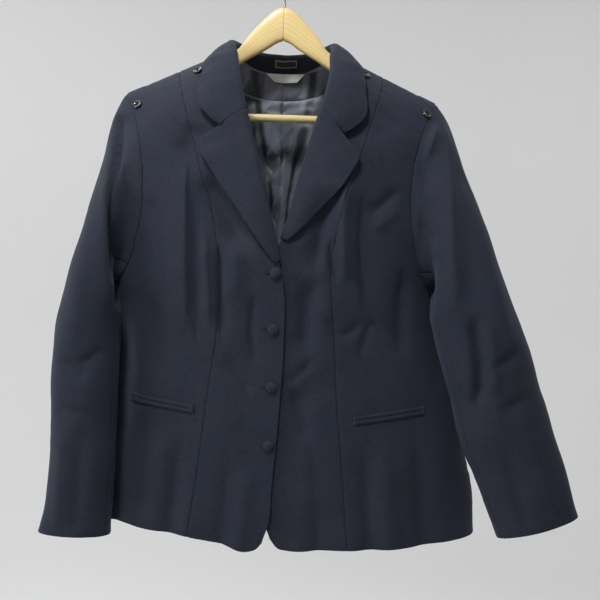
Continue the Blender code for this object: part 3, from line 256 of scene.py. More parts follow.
def foldRise(x, z, folds):
    # how far these folds stand out (or in) at a place seen from in front
    total = np.zeros(np.broadcast(x, z).shape)
    for rise, widthLow, widthHigh, power, fadeIn, fadeOut, path in folds:
        path = densePath(path)
        pieces = np.diff(path, axis=0)
        lengths = np.linalg.norm(pieces, axis=1)
        along = np.concatenate([[0], np.cumsum(lengths)]) / lengths.sum()
        nearest = np.full(total.shape, 1e9)
        signed, place = np.zeros(total.shape), np.zeros(total.shape)
        for k, (start, piece, length) in enumerate(zip(path[:-1], pieces, lengths)):
            dx, dz = x - start[0], z - start[1]
            t = np.clip((dx * piece[0] + dz * piece[1]) / length**2, 0, 1)
            away = np.hypot(dx - t * piece[0], dz - t * piece[1])
            closer = away < nearest
            nearest = np.where(closer, away, nearest)
            signed = np.where(closer, piece[0] * dz - piece[1] * dx, signed)
            place = np.where(closer, along[k] + t * (along[k + 1] - along[k]), place)
        width = np.where(signed > 0, widthHigh, widthLow)
        shape = rise * np.exp(-((nearest / width) ** power))
        if fadeIn:
            shape = shape * ease(place / fadeIn)
        if fadeOut:
            shape = shape * ease((1 - place) / fadeOut)
        total += shape
    return total


def level(height, column):
    return smoothCurve(bodyLevels[:, 0], bodyLevels[:, column], height)


def reach(side, height):
    return np.where(side < 0, level(height, 1), level(height, 2))


def shoulderLine(x):
    return body["shoulderHeight"] - body["shoulderSlope"] * (np.abs(x) - body["shoulderOut"])


valley = {
    "top": -0.440, "length": 0.460, "out": 0.207, "lean": 0.003, "depth": 0.022, "width": 0.020,
    "fade": 0.25, "turnFade": 0.3,
}


def sideValley(x, height):
    # the deep hollow where the wearer's right sleeve hangs in front of the side
    t = np.clip((valley["top"] - height) / valley["length"], 0, 1)
    away = np.abs(x + valley["out"] + valley["lean"] * t)
    depth = -valley["depth"] * ease(t / valley["fade"]) * ease((1 - t) / valley["fade"])
    return depth * np.exp(-((away / valley["width"]) ** 2))


def bodyPoint(girth, height):
    # girth is 0 at the front edge, 1 at the side and 2 at the middle of the back
    angle = girth * pi / 2
    x = reach(girth, height) * np.sin(angle)
    turn = np.cos(angle)
    front = turn >= 0
    depth = np.where(front, level(height, 3), level(height, 4))
    below = np.clip((shoulderLine(x) - height) / np.where(front, body["frontCap"], body["backCap"]), 0, 1)
    cap = (1 - (1 - below) ** 2) ** body["capRound"]
    bulge = depth * np.abs(turn) ** body["sectionRound"] * cap
    y = np.where(front, -1, 1) * (body["seamGap"] / 2 + bulge)
    y = y - np.where(front, sideValley(x, height) * cap * ease(turn / valley["turnFade"]), 0)
    return np.stack(np.broadcast_arrays(x, y, height), axis=-1)


def leftFrontPoint(girth, height):
    # the left front lies tucked behind the right one at the middle
    point = bodyPoint(girth, height)
    point[..., 1] += body["tuck"] * ease((body["tuckFrom"] - point[..., 0]) / body["tuckOver"])
    return point


def bodyNormal(girth, height, pointOf=bodyPoint):
    step = 1e-4
    across = pointOf(girth + step, height) - pointOf(girth - step, height)
    up = pointOf(girth, height + step) - pointOf(girth, height - step)
    normal = unit(np.cross(across, up))
    x = pointOf(girth, height)[..., 0]
    normal[..., 1] *= ease((shoulderLine(x) - height) / 0.006)
    return unit(normal)


def frontGirth(x, height):
    return np.arcsin(np.clip(x / reach(x, height), -1, 1)) * 2 / pi


def backGirth(side, out, height):
    return side * (2 - np.arcsin(np.clip(out / reach(side, height), -1, 1)) * 2 / pi)


def drapeRise(girth, base):
    x, z = base[..., 0], base[..., 2]
    turn = np.cos(girth * pi / 2)
    inFront, behind = ease(turn / unevenness["turnFade"]), ease(-turn / unevenness["turnFade"])
    rise = inFront * foldRise(x, z, frontFolds) + behind * foldRise(x, z, backFolds)
    rise = rise * unevenness["foldDepth"]
    back = np.where(turn < 0, unevenness["backShift"], 0.0) * behind  # a different stretch of the swell
    rise = rise + unevenness["soft"] * waveRise(x + back, z, softSwell)
    rise = rise + unevenness["small"] * waveRise(x + back, z, smallSwell)
    hemWave = sum(np.sin(x / length + shift) * height for length, shift, height in hemWaves)
    rise = rise + hemWave * ease((unevenness["hemFrom"] - z) / unevenness["hemOver"])
    return rise * ease((shoulderLine(x) - z) / unevenness["shoulderOver"])


def drapedPoint(girth, height, pointOf=bodyPoint):
    base = pointOf(girth, height)
    return base + bodyNormal(girth, height, pointOf) * drapeRise(girth, base)[..., None]


def edgePath(places, pointOf=bodyPoint):
    places = np.asarray(places, float)
    points = pointOf(places[:, 0], places[:, 1])
    lengths = np.linalg.norm(np.diff(points, axis=0), axis=1)
    along = np.concatenate([[0], np.cumsum(lengths)]) / lengths.sum()

    def at(share):
        share = np.asarray(share, float)
        return np.stack([smoothCurve(along, places[:, 0], share),
                         smoothCurve(along, places[:, 1], share)], axis=-1)

    return at


def frontPlaces(spots):
    return [(float(frontGirth(x, z)), z) for x, z in spots]


def backPlaces(side, spots):
    return [(float(backGirth(side, x, z)), z) for x, z in spots]


def joinedPath(first, second, share):
    def at(along):
        along = np.asarray(along, float)[..., None]
        head = first(np.clip(along[..., 0] / share, 0, 1))
        tail = second(np.clip((along[..., 0] - share) / (1 - share), 0, 1))
        return np.where(along <= share, head, tail)

    return at


def patch(inner, outer, top, bottom, across, down):
    # places (girth, height) between four edges
    u, v = np.asarray(across)[None, :, None], np.asarray(down)[:, None, None]
    left, right = inner(down)[:, None, :], outer(down)[:, None, :]
    head, foot = top(across)[None, :, :], bottom(across)[None, :, :]
    corners = (
        (1 - u) * (1 - v) * inner(0.0) + u * (1 - v) * outer(0.0)
        + (1 - u) * v * inner(1.0) + u * v * outer(1.0)
    )
    return (1 - u) * left + u * right + (1 - v) * head + v * foot - corners


underarmShare, topCrowding = 0.47, 1.45


def rowsDown():
    upper, lower = body["frontRows"]
    armhole = underarmShare * (np.arange(upper + 1) / upper) ** topCrowding
    skirt = underarmShare + (1 - underarmShare) * np.arange(1, lower + 1) / lower
    shares = np.concatenate([armhole, skirt])
    shares[-1] -= 0.0004
    return shares


def shoulderPlaces(side, out0, out1, back=False):
    outs = np.linspace(out0, out1, 5)
    heights = shoulderLine(outs)
    if back:
        return [(float(backGirth(side, o, h)), float(h)) for o, h in zip(outs, heights)]
    return [(float(frontGirth(side * o, h)), float(h)) for o, h in zip(outs, heights)]


def outerEdge(side, back=False):
    armhole = backPlaces(side, backArmhole) if back else frontPlaces([(side * x, z) for x, z in frontArmhole])
    top, foot = (side * 1.0, body["underarm"]), (side * 1.0, body["sideHem"][side])
    middle = (side * 1.0, (top[1] + foot[1]) / 2)
    return joinedPath(edgePath([*armhole, top]), edgePath([top, middle, foot]), underarmShare)


def frontPointOf(side):
    return leftFrontPoint if side > 0 else bodyPoint


def frontCentrePlaces(side, across, down):
    pointOf = frontPointOf(side)
    return patch(
        edgePath(frontPlaces(frontEdge[side]), pointOf), edgePath(frontPlaces(princess[side])),
        edgePath(shoulderPlaces(side, body["neckOut"], abs(princess[side][0][0]))),
        edgePath(frontPlaces(frontHem[side]), pointOf), across, down,
    )


def frontSidePlaces(side, across, down):
    corner = (side * 1.0, body["sideHem"][side])
    return patch(
        edgePath(frontPlaces(princess[side])), outerEdge(side),
        edgePath(shoulderPlaces(side, abs(princess[side][0][0]), body["tipOut"])),
        edgePath([*frontPlaces(sideFrontHem[side]), corner]), across, down,
    )


neckShare = 0.35


def backPanelPlaces(side, across, down):
    neck = backPlaces(side, [*backNeck, (body["neckOut"], shoulderLine(body["neckOut"]))])
    shoulder = shoulderPlaces(side, body["neckOut"], body["tipOut"], back=True)
    middle = [(side * 2.0, h) for h in (body["nape"], -0.35, -0.55, body["backHem"])]
    hem = [middle[-1], (side * 1.5, body["backHem"]), (side * 1.0, body["sideHem"][side])]
    return patch(
        edgePath(middle), outerEdge(side, back=True),
        joinedPath(edgePath(neck), edgePath(shoulder), neckShare), edgePath(hem), across, down,
    )


def edgeDistances(grid):
    # metres from the inner, outer, top and foot edges of a grid of points
    across = np.linalg.norm(np.diff(grid, axis=1), axis=2)
    across = np.concatenate([np.zeros((grid.shape[0], 1)), np.cumsum(across, axis=1)], axis=1)
    down = np.linalg.norm(np.diff(grid, axis=0), axis=2)
    down = np.concatenate([np.zeros((1, grid.shape[1])), np.cumsum(down, axis=0)], axis=0)
    return across, across[:, -1:] - across, down, down[-1:, :] - down


def gridNormals(grid, outward):
    normal = unit(np.cross(np.gradient(grid, axis=1), np.gradient(grid, axis=0)))
    middle = tuple(n // 2 for n in normal.shape[:2])
    return normal * (1 if np.dot(normal[middle], outward) > 0 else -1)


seamFinish = {
    "dip": 0.0011, "dipWidth": 0.0015, "pucker": 0.00050, "puckerWidth": 0.011, "shadeWidth": 0.0011,
    "pressLine": 0.000288, "pressWidth": 0.003,
}


def seamRelief(grid, seams, seed):
    # the dip of a sewn seam and the small puckers beside it; seams gives each edge's strength
    distances = dict(zip(("inner", "outer", "top", "foot"), edgeDistances(grid)))
    rise = np.zeros(grid.shape[:2])
    for number, (edge, strength) in enumerate(seams.items()):
        away = distances[edge]
        along = distances["top"] if edge in ("inner", "outer") else distances["inner"]
        random = np.random.default_rng(seed + number)
        ripple = sum(
            np.sin(2 * pi * along / length + turn)
            for length, turn in zip(random.uniform(0.010, 0.026, 5), random.uniform(0, 2 * pi, 5))
        ) / 2.2
        ripple = ripple * (0.45 + 0.55 * np.sin(along / 0.043 + random.uniform(0, 6)))
        rise -= strength * seamFinish["dip"] * np.exp(-((away / seamFinish["dipWidth"]) ** 2))
        rise += strength * seamFinish["pucker"] * ripple * np.exp(-away / seamFinish["puckerWidth"])
    return rise


def seamPaintedShade(grid, seams):
    # painted shade: how deep in a seam each point lies, 0 to 1, for a dark line painted along the seam where its
    # groove would be in shade
    distances = dict(zip(("inner", "outer", "top", "foot"), edgeDistances(grid)))
    shade = np.zeros(grid.shape[:2])
    for edge, strength in seams.items():
        near = np.exp(-((distances[edge] / seamFinish["shadeWidth"]) ** 2))
        shade = np.maximum(shade, min(strength, 1.0) * near)
    return shade


def shell(name, grid, wall, outward, materials, turnedIn=None, edgeRound=None, shade=None):
    # a closed thin wall of cloth with rounded edges; turnedIn marks where its inner face is cloth too
    rows, columns = grid.shape[:2]
    normal = gridNormals(grid, outward)
    across, down = unit(np.gradient(grid, axis=1)), unit(np.gradient(grid, axis=0))
    beyond = np.zeros_like(grid)
    beyond[:, 0] -= across[:, 0]
    beyond[:, -1] += across[:, -1]
    beyond[0] -= down[0]
    beyond[-1] += down[-1]
    beyond = unit(beyond)
    beyond[1:-1, 1:-1] = 0
    edgeRound = body["edgeRound"] if edgeRound is None else edgeRound
    wall = np.broadcast_to(np.asarray(wall, float), grid.shape[:2])[..., None]
    outer = grid - beyond * edgeRound
    inner = outer - wall * normal
    index = np.arange(rows * columns).reshape(rows, columns)
    rim = [*index[0, :], *index[1:, -1], *index[-1, -2::-1], *index[-2:0:-1, 0]]
    points = [outer.reshape(-1, 3), inner.reshape(-1, 3)]
    flatNormal, flatBeyond = normal.reshape(-1, 3)[rim], beyond.reshape(-1, 3)[rim]
    flatWall = wall.reshape(-1, 1)[rim]
    middle = (points[0][rim] + points[1][rim]) / 2
    rings = [np.array(rim)]
    count = 2 * rows * columns
    for k in (1, 2, 3):
        angle = pi * k / 4
        bulge = edgeRound + body["seamLap"]
        points.append(middle + flatNormal * flatWall / 2 * cos(angle) + flatBeyond * bulge * sin(angle))
        rings.append(count + np.arange(len(rim)))
        count += len(rim)
    rings.append(np.array(rim) + rows * columns)
    a, b, c, d = index[:-1, :-1].ravel(), index[:-1, 1:].ravel(), index[1:, 1:].ravel(), index[1:, :-1].ravel()
    outerFaces = np.stack([a, b, c, d], axis=1)
    innerFaces = outerFaces[:, ::-1] + rows * columns
    rimFaces = [np.stack([np.roll(low, -1), low, high, np.roll(high, -1)], axis=1)
                for low, high in zip(rings, rings[1:])]
    faces = np.concatenate([outerFaces, innerFaces, *rimFaces])
    allPoints = np.concatenate(points)
    p0, p1, p2, p3 = (allPoints[faces[:, k]] for k in range(4))
    volume = np.einsum("ij,ij->i", p0, np.cross(p1, p2)).sum() + np.einsum("ij,ij->i", p0, np.cross(p2, p3)).sum()
    if volume < 0:
        faces = faces[:, ::-1]
    mesh = bpy.data.meshes.new(name)
    mesh.from_pydata(allPoints.tolist(), [], faces.tolist())
    for material in materials:
        mesh.materials.append(material)
    look = np.zeros(len(faces), np.int32)
    if len(materials) > 1:
        flags = np.ones((rows - 1, columns - 1), np.int32)
        if turnedIn is not None:
            flags = (~turnedIn[:-1, :-1]).astype(np.int32)
        look[len(outerFaces): 2 * len(outerFaces)] = flags.ravel()
    mesh.polygons.foreach_set("material_index", look)
    mesh.shade_smooth()
    addGrainMap(mesh, grid, rim)
    # painted shade: the shade values become the point attribute 'seam' that the finishes use to darken the colour;
    # on the lining they are the satin's painted shade, not seams
    if shade is not None:
        flat = shade.ravel()
        perPoint = np.concatenate([flat, flat * 0, *[flat[rim]] * 3])
        mesh.attributes.new("seam", "FLOAT", "POINT").data.foreach_set("value", perPoint.astype(np.float32))
    made = bpy.data.objects.new(pieceName(name), mesh)
    scene.collection.objects.link(made)
    return made


def addGrainMap(mesh, grid, rim):
    # metres along the weave: across from the middle column, and down
    across, _, down, _ = edgeDistances(grid)
    across = across - across[:, across.shape[1] // 2][:, None]
    down = np.broadcast_to(down[:, down.shape[1] // 2][:, None], across.shape)
    flat = np.stack([across.ravel(), down.ravel()], axis=1)
    perPoint = np.concatenate([flat, flat, flat[rim], flat[rim], flat[rim]])
    corners = np.empty(len(mesh.loops), np.int32)
    mesh.loops.foreach_get("vertex_index", corners)
    mesh.uv_layers.new(name="grain").data.foreach_set("uv", perPoint[corners].ravel().astype(np.float32))


cuts = {}


def pieceName(node):
    first, *rest = node.split("_")
    return first + "".join(word.capitalize() for word in rest)


def declareSheet(piece, grid, nodes):
    # the flat cut is the unrolled panel: its longest column, its widest row and its own area
    across, _, down, _ = edgeDistances(grid)
    a, b, c, d = grid[:-1, :-1], grid[:-1, 1:], grid[1:, 1:], grid[1:, :-1]
    area = float(np.linalg.norm(np.cross(c - a, d - b), axis=2).sum() / 2)
    length = float(down[-1].max())
    meanWidth = area / length
    width = max(min(float(across[:, -1].max()), 1.6 * meanWidth), 1.01 * meanWidth)
    flat = (round(width + 0.0005, 3), round(length + 0.0005, 3))
    area = round(min(area, flat[0] * flat[1]), 5)
    cuts[piece.name] = (flat, area)
    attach(piece, "root")
    if nodes:
        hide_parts(*nodes)


def link(tree, source, target):
    tree.links.new(source, target)


def maths(tree, operation, first, second=None, third=None):
    node = tree.nodes.new("ShaderNodeMath")
    node.operation = operation
    for socket, value in zip(node.inputs, (first, second, third)):
        if isinstance(value, bpy.types.NodeSocket):
            link(tree, value, socket)
        elif value is not None:
            socket.default_value = value
    return node.outputs[0]


def noise(tree, vector, scale, detail=3.0, roughness=0.5, distortion=0.0):
    node = tree.nodes.new("ShaderNodeTexNoise")
    for name, value in (("Scale", scale), ("Detail", detail),
                        ("Roughness", roughness), ("Distortion", distortion)):
        node.inputs[name].default_value = value
    link(tree, vector, node.inputs["Vector"])
    return node.outputs[0]


def mapped(tree, vector, scale=(1, 1, 1), rotation=(0, 0, 0)):
    node = tree.nodes.new("ShaderNodeMapping")
    node.inputs["Scale"].default_value = scale
    node.inputs["Rotation"].default_value = rotation
    link(tree, vector, node.inputs["Vector"])
    return node.outputs[0]


def ranged(tree, value, low, high, fromLow=0.0, fromHigh=1.0):
    node = tree.nodes.new("ShaderNodeMapRange")
    for name, number in (("From Min", fromLow), ("From Max", fromHigh), ("To Min", low), ("To Max", high)):
        node.inputs[name].default_value = number
    link(tree, value, node.inputs["Value"])
    return node.outputs[0]


def mixedColour(tree, factor, first, second, blend="MIX"):
    node = tree.nodes.new("ShaderNodeMix")
    node.data_type = "RGBA"
    node.blend_type = blend
    for socket, value in ((node.inputs[0], factor), (node.inputs[6], first), (node.inputs[7], second)):
        if isinstance(value, bpy.types.NodeSocket):
            link(tree, value, socket)
        elif isinstance(value, tuple):
            socket.default_value = (*value, 1.0)
        else:
            socket.default_value = value
    return node.outputs[2]


def newGroup(name, inputs, outputs):
    group = bpy.data.node_groups.new(name, "ShaderNodeTree")
    for label, kind, value in inputs:
        socket = group.interface.new_socket(label, in_out="INPUT", socket_type=kind)
        if value is not None:
            socket.default_value = value
    for label in outputs:
        group.interface.new_socket(label, in_out="OUTPUT", socket_type="NodeSocketFloat")
    return group, group.nodes.new("NodeGroupInput").outputs, group.nodes.new("NodeGroupOutput").inputs


def makeTwill():
    group, given, out = newGroup(
        "twillWeave",
        (("Grain", "NodeSocketVector", None), ("Rib Pitch", "NodeSocketFloat", 0.0011),
         ("Slub", "NodeSocketFloat", 0.35)),
        ("Height", "Shade"),
    )
    parts = group.nodes.new("ShaderNodeSeparateXYZ")
    link(group, given["Grain"], parts.inputs[0])
    u, v = parts.outputs[0], parts.outputs[1]
    wander = noise(group, mapped(group, given["Grain"], (60, 60, 1)), 1.0, 2.0)
    diagonal = maths(group, "ADD", maths(group, "MULTIPLY", u, 0.80), maths(group, "MULTIPLY", v, 0.60))
    ribs = maths(group, "DIVIDE", diagonal, given["Rib Pitch"])
    turns = maths(group, "ADD", ribs, maths(group, "MULTIPLY", wander, 1.4))
    ribs = maths(group, "SINE", maths(group, "MULTIPLY", turns, 2 * pi))
    yarn = maths(group, "SINE", maths(group, "MULTIPLY", maths(group, "DIVIDE", v, given["Rib Pitch"]), 2.6 * pi))
    weave = maths(group, "ADD", maths(group, "MULTIPLY", ribs, 0.32), maths(group, "MULTIPLY", yarn, 0.14))
    height = maths(group, "ADD", weave, 0.5)
    warp = noise(group, mapped(group, given["Grain"], (1500, 130, 1)), 1.0, 2.0)
    weft = noise(group, mapped(group, given["Grain"], (130, 1500, 1)), 1.0, 2.0)
    streak = maths(group, "SUBTRACT", maths(group, "ADD", warp, weft), 1.0)
    shade = maths(group, "ADD", maths(group, "MULTIPLY", weave, 0.55),
                  maths(group, "MULTIPLY", streak, given["Slub"]))
    link(group, height, out["Height"])
    link(group, maths(group, "ADD", shade, 0.5), out["Shade"])
    return group


def makeSatin():
    group, given, out = newGroup(
        "satinWeave",
        (("Grain", "NodeSocketVector", None), ("Streak", "NodeSocketFloat", 1.0)),
        ("Height", "Shade"),
    )
    fine = noise(group, mapped(group, given["Grain"], (2600, 220, 1)), 1.0, 2.0)
    broad = noise(group, mapped(group, given["Grain"], (240, 14, 1)), 1.0, 2.0)
    both = maths(group, "ADD", maths(group, "MULTIPLY", fine, 0.6), maths(group, "MULTIPLY", broad, 0.4))
    link(group, both, out["Height"])
    centred = maths(group, "MULTIPLY", maths(group, "SUBTRACT", both, 0.5), given["Streak"])
    link(group, maths(group, "ADD", centred, 0.5), out["Shade"])
    return group


def makeWear():
    group, given, out = newGroup(
        "clothWear",
        (("Place", "NodeSocketVector", None), ("Lint", "NodeSocketFloat", 0.5)),
        ("Mottle", "Lint", "Press", "Nap", "Hue"),
    )
    broad = noise(group, given["Place"], 9.0, 3.0, 0.55)
    middle = noise(group, given["Place"], 85.0, 3.0, 0.6)
    nap = noise(group, mapped(group, given["Place"], (430, 430, 620)), 1.0, 3.0, 0.65)
    mottle = maths(group, "ADD", maths(group, "MULTIPLY", broad, 0.40), maths(group, "MULTIPLY", middle, 0.30))
    link(group, maths(group, "ADD", mottle, maths(group, "MULTIPLY", nap, 0.30)), out["Mottle"])
    link(group, nap, out["Nap"])
    hue = noise(group, mapped(group, given["Place"], (24, 24, 30), (0.4, 0.2, 0.7)), 1.0, 3.0, 0.6)
    link(group, ranged(group, hue, 0.0, 1.0, 0.35, 0.65), out["Hue"])
    specks = group.nodes.new("ShaderNodeTexVoronoi")
    specks.inputs["Scale"].default_value = 95.0
    link(group, mapped(group, given["Place"], (1, 1, 0.55)), specks.inputs["Vector"])
    near = ranged(group, specks.outputs["Distance"], 1.0, 0.0, 0.02, 0.07)
    some = maths(group, "GREATER_THAN", noise(group, given["Place"], 31.0, 1.0), 0.64)
    link(group, maths(group, "MULTIPLY", maths(group, "MULTIPLY", near, some), given["Lint"]), out["Lint"])
    link(group, ranged(group, broad, 0.0, 1.0, 0.35, 0.65), out["Press"])
    return group


def makeWood():
    group, given, out = newGroup(
        "woodGrain",
        (("Grain", "NodeSocketVector", None), ("Ring Width", "NodeSocketFloat", 0.0055)),
        ("Rings", "Pores", "Stain"),
    )
    parts = group.nodes.new("ShaderNodeSeparateXYZ")
    link(group, given["Grain"], parts.inputs[0])
    slow = noise(group, mapped(group, given["Grain"], (5, 28, 1)), 1.0, 3.0, 0.5, 0.4)
    straight = maths(group, "DIVIDE", parts.outputs[1], given["Ring Width"])
    bent = maths(group, "ADD", straight, maths(group, "MULTIPLY", slow, 5.5))
    rings = maths(group, "FRACT", bent)
    early = maths(group, "POWER", rings, 2.2)
    link(group, early, out["Rings"])
    pores = noise(group, mapped(group, given["Grain"], (70, 2300, 1)), 1.0, 2.0, 0.6)
    link(group, ranged(group, pores, 0.0, 1.0, 0.56, 0.74), out["Pores"])
    link(group, noise(group, mapped(group, given["Grain"], (14, 40, 1)), 1.0, 2.0), out["Stain"])
    return group


twillWeave, satinWeave, clothWear, woodGrain = makeTwill(), makeSatin(), makeWear(), makeWood()


def startMaterial(name, settings):
    made = bpy.data.materials.new(name)
    made.use_nodes = True
    shader = made.node_tree.nodes["Principled BSDF"]
    for socket, value in settings.items():
        shader.inputs[socket].default_value = value
    return made, made.node_tree, shader


def placeGroup(tree, group, values, vectors):
    node = tree.nodes.new("ShaderNodeGroup")
    node.node_tree = group
    for name, value in values.items():
        node.inputs[name].default_value = value
    for name, source in vectors.items():
        link(tree, source, node.inputs[name])
    return node.outputs


def grainMap(tree):
    node = tree.nodes.new("ShaderNodeUVMap")
    node.uv_map = "grain"
    return node.outputs[0]


def objectPlace(tree):
    return tree.nodes.new("ShaderNodeTexCoord").outputs["Object"]


def bumped(tree, shader, height, strength, distance):
    bump = tree.nodes.new("ShaderNodeBump")
    bump.inputs["Strength"].default_value = strength
    bump.inputs["Distance"].default_value = distance
    link(tree, height, bump.inputs["Height"])
    link(tree, bump.outputs[0], shader.inputs["Normal"])


def clothFinish(name, dark, pale, lint=0.5, pitch=0.0011, slub=0.35, sheen=0.13):
    roughness = (0.78, 0.92)
    made, tree, shader = startMaterial(name, {
        "Sheen Weight": sheen, "Sheen Roughness": 0.45, "Sheen Tint": (0.62, 0.70, 0.92, 1.0),
        "Specular IOR Level": 0.28,
    })
    weave = placeGroup(tree, twillWeave, {"Rib Pitch": pitch, "Slub": slub}, {"Grain": grainMap(tree)})
    wear = placeGroup(tree, clothWear, {"Lint": lint}, {"Place": objectPlace(tree)})
    mottle = maths(tree, "MULTIPLY", wear["Mottle"], 0.90)
    shade = maths(tree, "ADD", maths(tree, "MULTIPLY", weave["Shade"], 0.55), mottle)
    speckle = maths(tree, "MULTIPLY", maths(tree, "SUBTRACT", wear["Nap"], 0.5), 1.7)
    colour = mixedColour(tree, maths(tree, "ADD", ranged(tree, shade, 0.0, 1.0, 0.30, 0.95), speckle), dark, pale)
    colour = mixedColour(tree, maths(tree, "MULTIPLY", wear["Lint"], 0.35), colour, (0.30, 0.31, 0.34))
    cast = mixedColour(tree, wear["Hue"], (0.92, 0.99, 1.03), (1.09, 1.00, 1.00))
    colour = mixedColour(tree, 1.0, colour, cast, "MULTIPLY")
    # painted shade: the colour is darkened up to half way towards near-black where the 'seam' attribute marks a
    # seam, as shade in its groove
    seam = tree.nodes.new("ShaderNodeAttribute")
    seam.attribute_name = "seam"
    colour = mixedColour(tree, maths(tree, "MULTIPLY", seam.outputs["Fac"], 0.50), colour, (0.002, 0.002, 0.003))
    link(tree, colour, shader.inputs["Base Color"])
    link(tree, ranged(tree, wear["Press"], roughness[0], roughness[1]), shader.inputs["Roughness"])
    height = maths(tree, "ADD", weave["Height"], maths(tree, "MULTIPLY", wear["Nap"], 0.9))
    bumped(tree, shader, height, 0.40, 0.00035)
    return made


def satinFinish(name, dark, pale, roughness=(0.30, 0.46), gloss=0.55, paintedShadeColour=None):
    settings = {"Specular IOR Level": gloss, "Sheen Weight": 0.10, "Sheen Roughness": 0.30}
    made, tree, shader = startMaterial(name, settings)
    weave = placeGroup(tree, satinWeave, {"Streak": 1.1}, {"Grain": grainMap(tree)})
    wear = placeGroup(tree, clothWear, {"Lint": 0.2}, {"Place": objectPlace(tree)})
    colour = mixedColour(tree, weave["Shade"], dark, pale)
    # painted shade: where the 'seam' attribute is high the colour is mixed towards the dark painted-shade colour
    if paintedShadeColour:
        paintedShadeMap = tree.nodes.new("ShaderNodeAttribute")
        paintedShadeMap.attribute_name = "seam"
        colour = mixedColour(tree, paintedShadeMap.outputs["Fac"], colour, paintedShadeColour)
    link(tree, colour, shader.inputs["Base Color"])
    link(tree, ranged(tree, wear["Mottle"], roughness[0], roughness[1], 0.3, 0.7), shader.inputs["Roughness"])
    bumped(tree, shader, weave["Height"], 0.25, 0.00025)
    return made


def woodFinish(name, pale, deep, ringWidth):
    made, tree, shader = startMaterial(name, {
        "Coat Weight": 0.55, "Coat Roughness": 0.16, "Specular IOR Level": 0.45,
    })
    grain = placeGroup(tree, woodGrain, {"Ring Width": ringWidth}, {"Grain": grainMap(tree)})
    colour = mixedColour(tree, maths(tree, "MULTIPLY", grain["Rings"], 0.55), pale, deep)
    colour = mixedColour(tree, maths(tree, "MULTIPLY", grain["Pores"], 0.30), colour, (0.46, 0.27, 0.09))
    colour = mixedColour(tree, maths(tree, "MULTIPLY", grain["Stain"], 0.35), colour, (0.74, 0.54, 0.26))
    link(tree, colour, shader.inputs["Base Color"])
    link(tree, ranged(tree, grain["Rings"], 0.34, 0.46), shader.inputs["Roughness"])
    height = maths(tree, "SUBTRACT", maths(tree, "MULTIPLY", grain["Rings"], 0.5), grain["Pores"])
    bumped(tree, shader, height, 0.12, 0.0002)
    return made


def plainFinish(name, settings, low, high, roughness, scale, bump=0.0):
    # a finish with small changes of colour and gloss over it
    made, tree, shader = startMaterial(name, settings)
    mottle = noise(tree, objectPlace(tree), scale, 4.0, 0.6)
    colour = mixedColour(tree, ranged(tree, mottle, 0.0, 1.0, 0.3, 0.7), low, high)
    link(tree, colour, shader.inputs["Base Color"])
    link(tree, ranged(tree, mottle, roughness[0], roughness[1], 0.3, 0.7), shader.inputs["Roughness"])
    if bump:
        bumped(tree, shader, mottle, 0.3, bump)
    return made


outerCloth = clothFinish("outerCloth", (0.0120, 0.0150, 0.0260), (0.0300, 0.0355, 0.0540))
facingCloth = clothFinish("facingCloth", (0.0110, 0.0130, 0.0210), (0.0240, 0.0275, 0.0400), lint=0.3, sheen=0.12)
buttonCloth = clothFinish(
    "buttonCloth", (0.0120, 0.0150, 0.0250), (0.0330, 0.0385, 0.0560), lint=0.0, pitch=0.0008, sheen=0.30,
)
# painted light and painted shade: the lining's colours are made pale so it reads bright in the shade inside the
# back, and the last colour is the painted shade that the 'seam' attribute mixes in
liningSatin = satinFinish(
    "liningSatin", (0.1500, 0.1680, 0.2120), (0.2700, 0.2980, 0.3650), (0.40, 0.50), 0.42, (0.012, 0.014, 0.018),
)
wovenLabel = satinFinish("wovenLabelTape", (0.0050, 0.0050, 0.0060), (0.0120, 0.0120, 0.0140), (0.45, 0.60))
labelBorder = satinFinish("labelBorderThread", (0.1700, 0.1650, 0.1450), (0.3400, 0.3300, 0.2900), (0.40, 0.55))
whiteTape = satinFinish("whiteTape", (0.8400, 0.8500, 0.8700), (0.9500, 0.9600, 0.9800), (0.55, 0.70))
palewood = woodFinish("paleHangerWood", (0.990, 0.780, 0.345), (0.860, 0.530, 0.135), 0.0060)
# the bar's wood is paler than the arms', partly as its own paler wood and partly as painted light that makes up
# for the shade it hangs in
barWood = woodFinish("paleBarWood", (0.990, 0.850, 0.420), (0.940, 0.700, 0.250), 0.0040)
navyThread = plainFinish(
    "navyThread", {"Sheen Weight": 0.3}, (0.012, 0.014, 0.024), (0.040, 0.045, 0.066), (0.50, 0.65), 900.0,
)
paleThread = plainFinish(
    "greyThread", {"Sheen Weight": 0.3}, (0.220, 0.220, 0.230), (0.400, 0.400, 0.410), (0.50, 0.65), 900.0,
)
blackResin = plainFinish("blackResin", {"Coat Weight": 0.8, "Coat Roughness": 0.06, "Specular IOR Level": 0.6},
                         (0.006, 0.006, 0.007), (0.016, 0.016, 0.018), (0.14, 0.28), 420.0, 0.00006)
steelWire = plainFinish(
    "brightSteel", {"Metallic": 1.0}, (0.560, 0.560, 0.560), (0.720, 0.720, 0.710), (0.16, 0.30), 260.0, 0.00004,
)
print("finishes made")


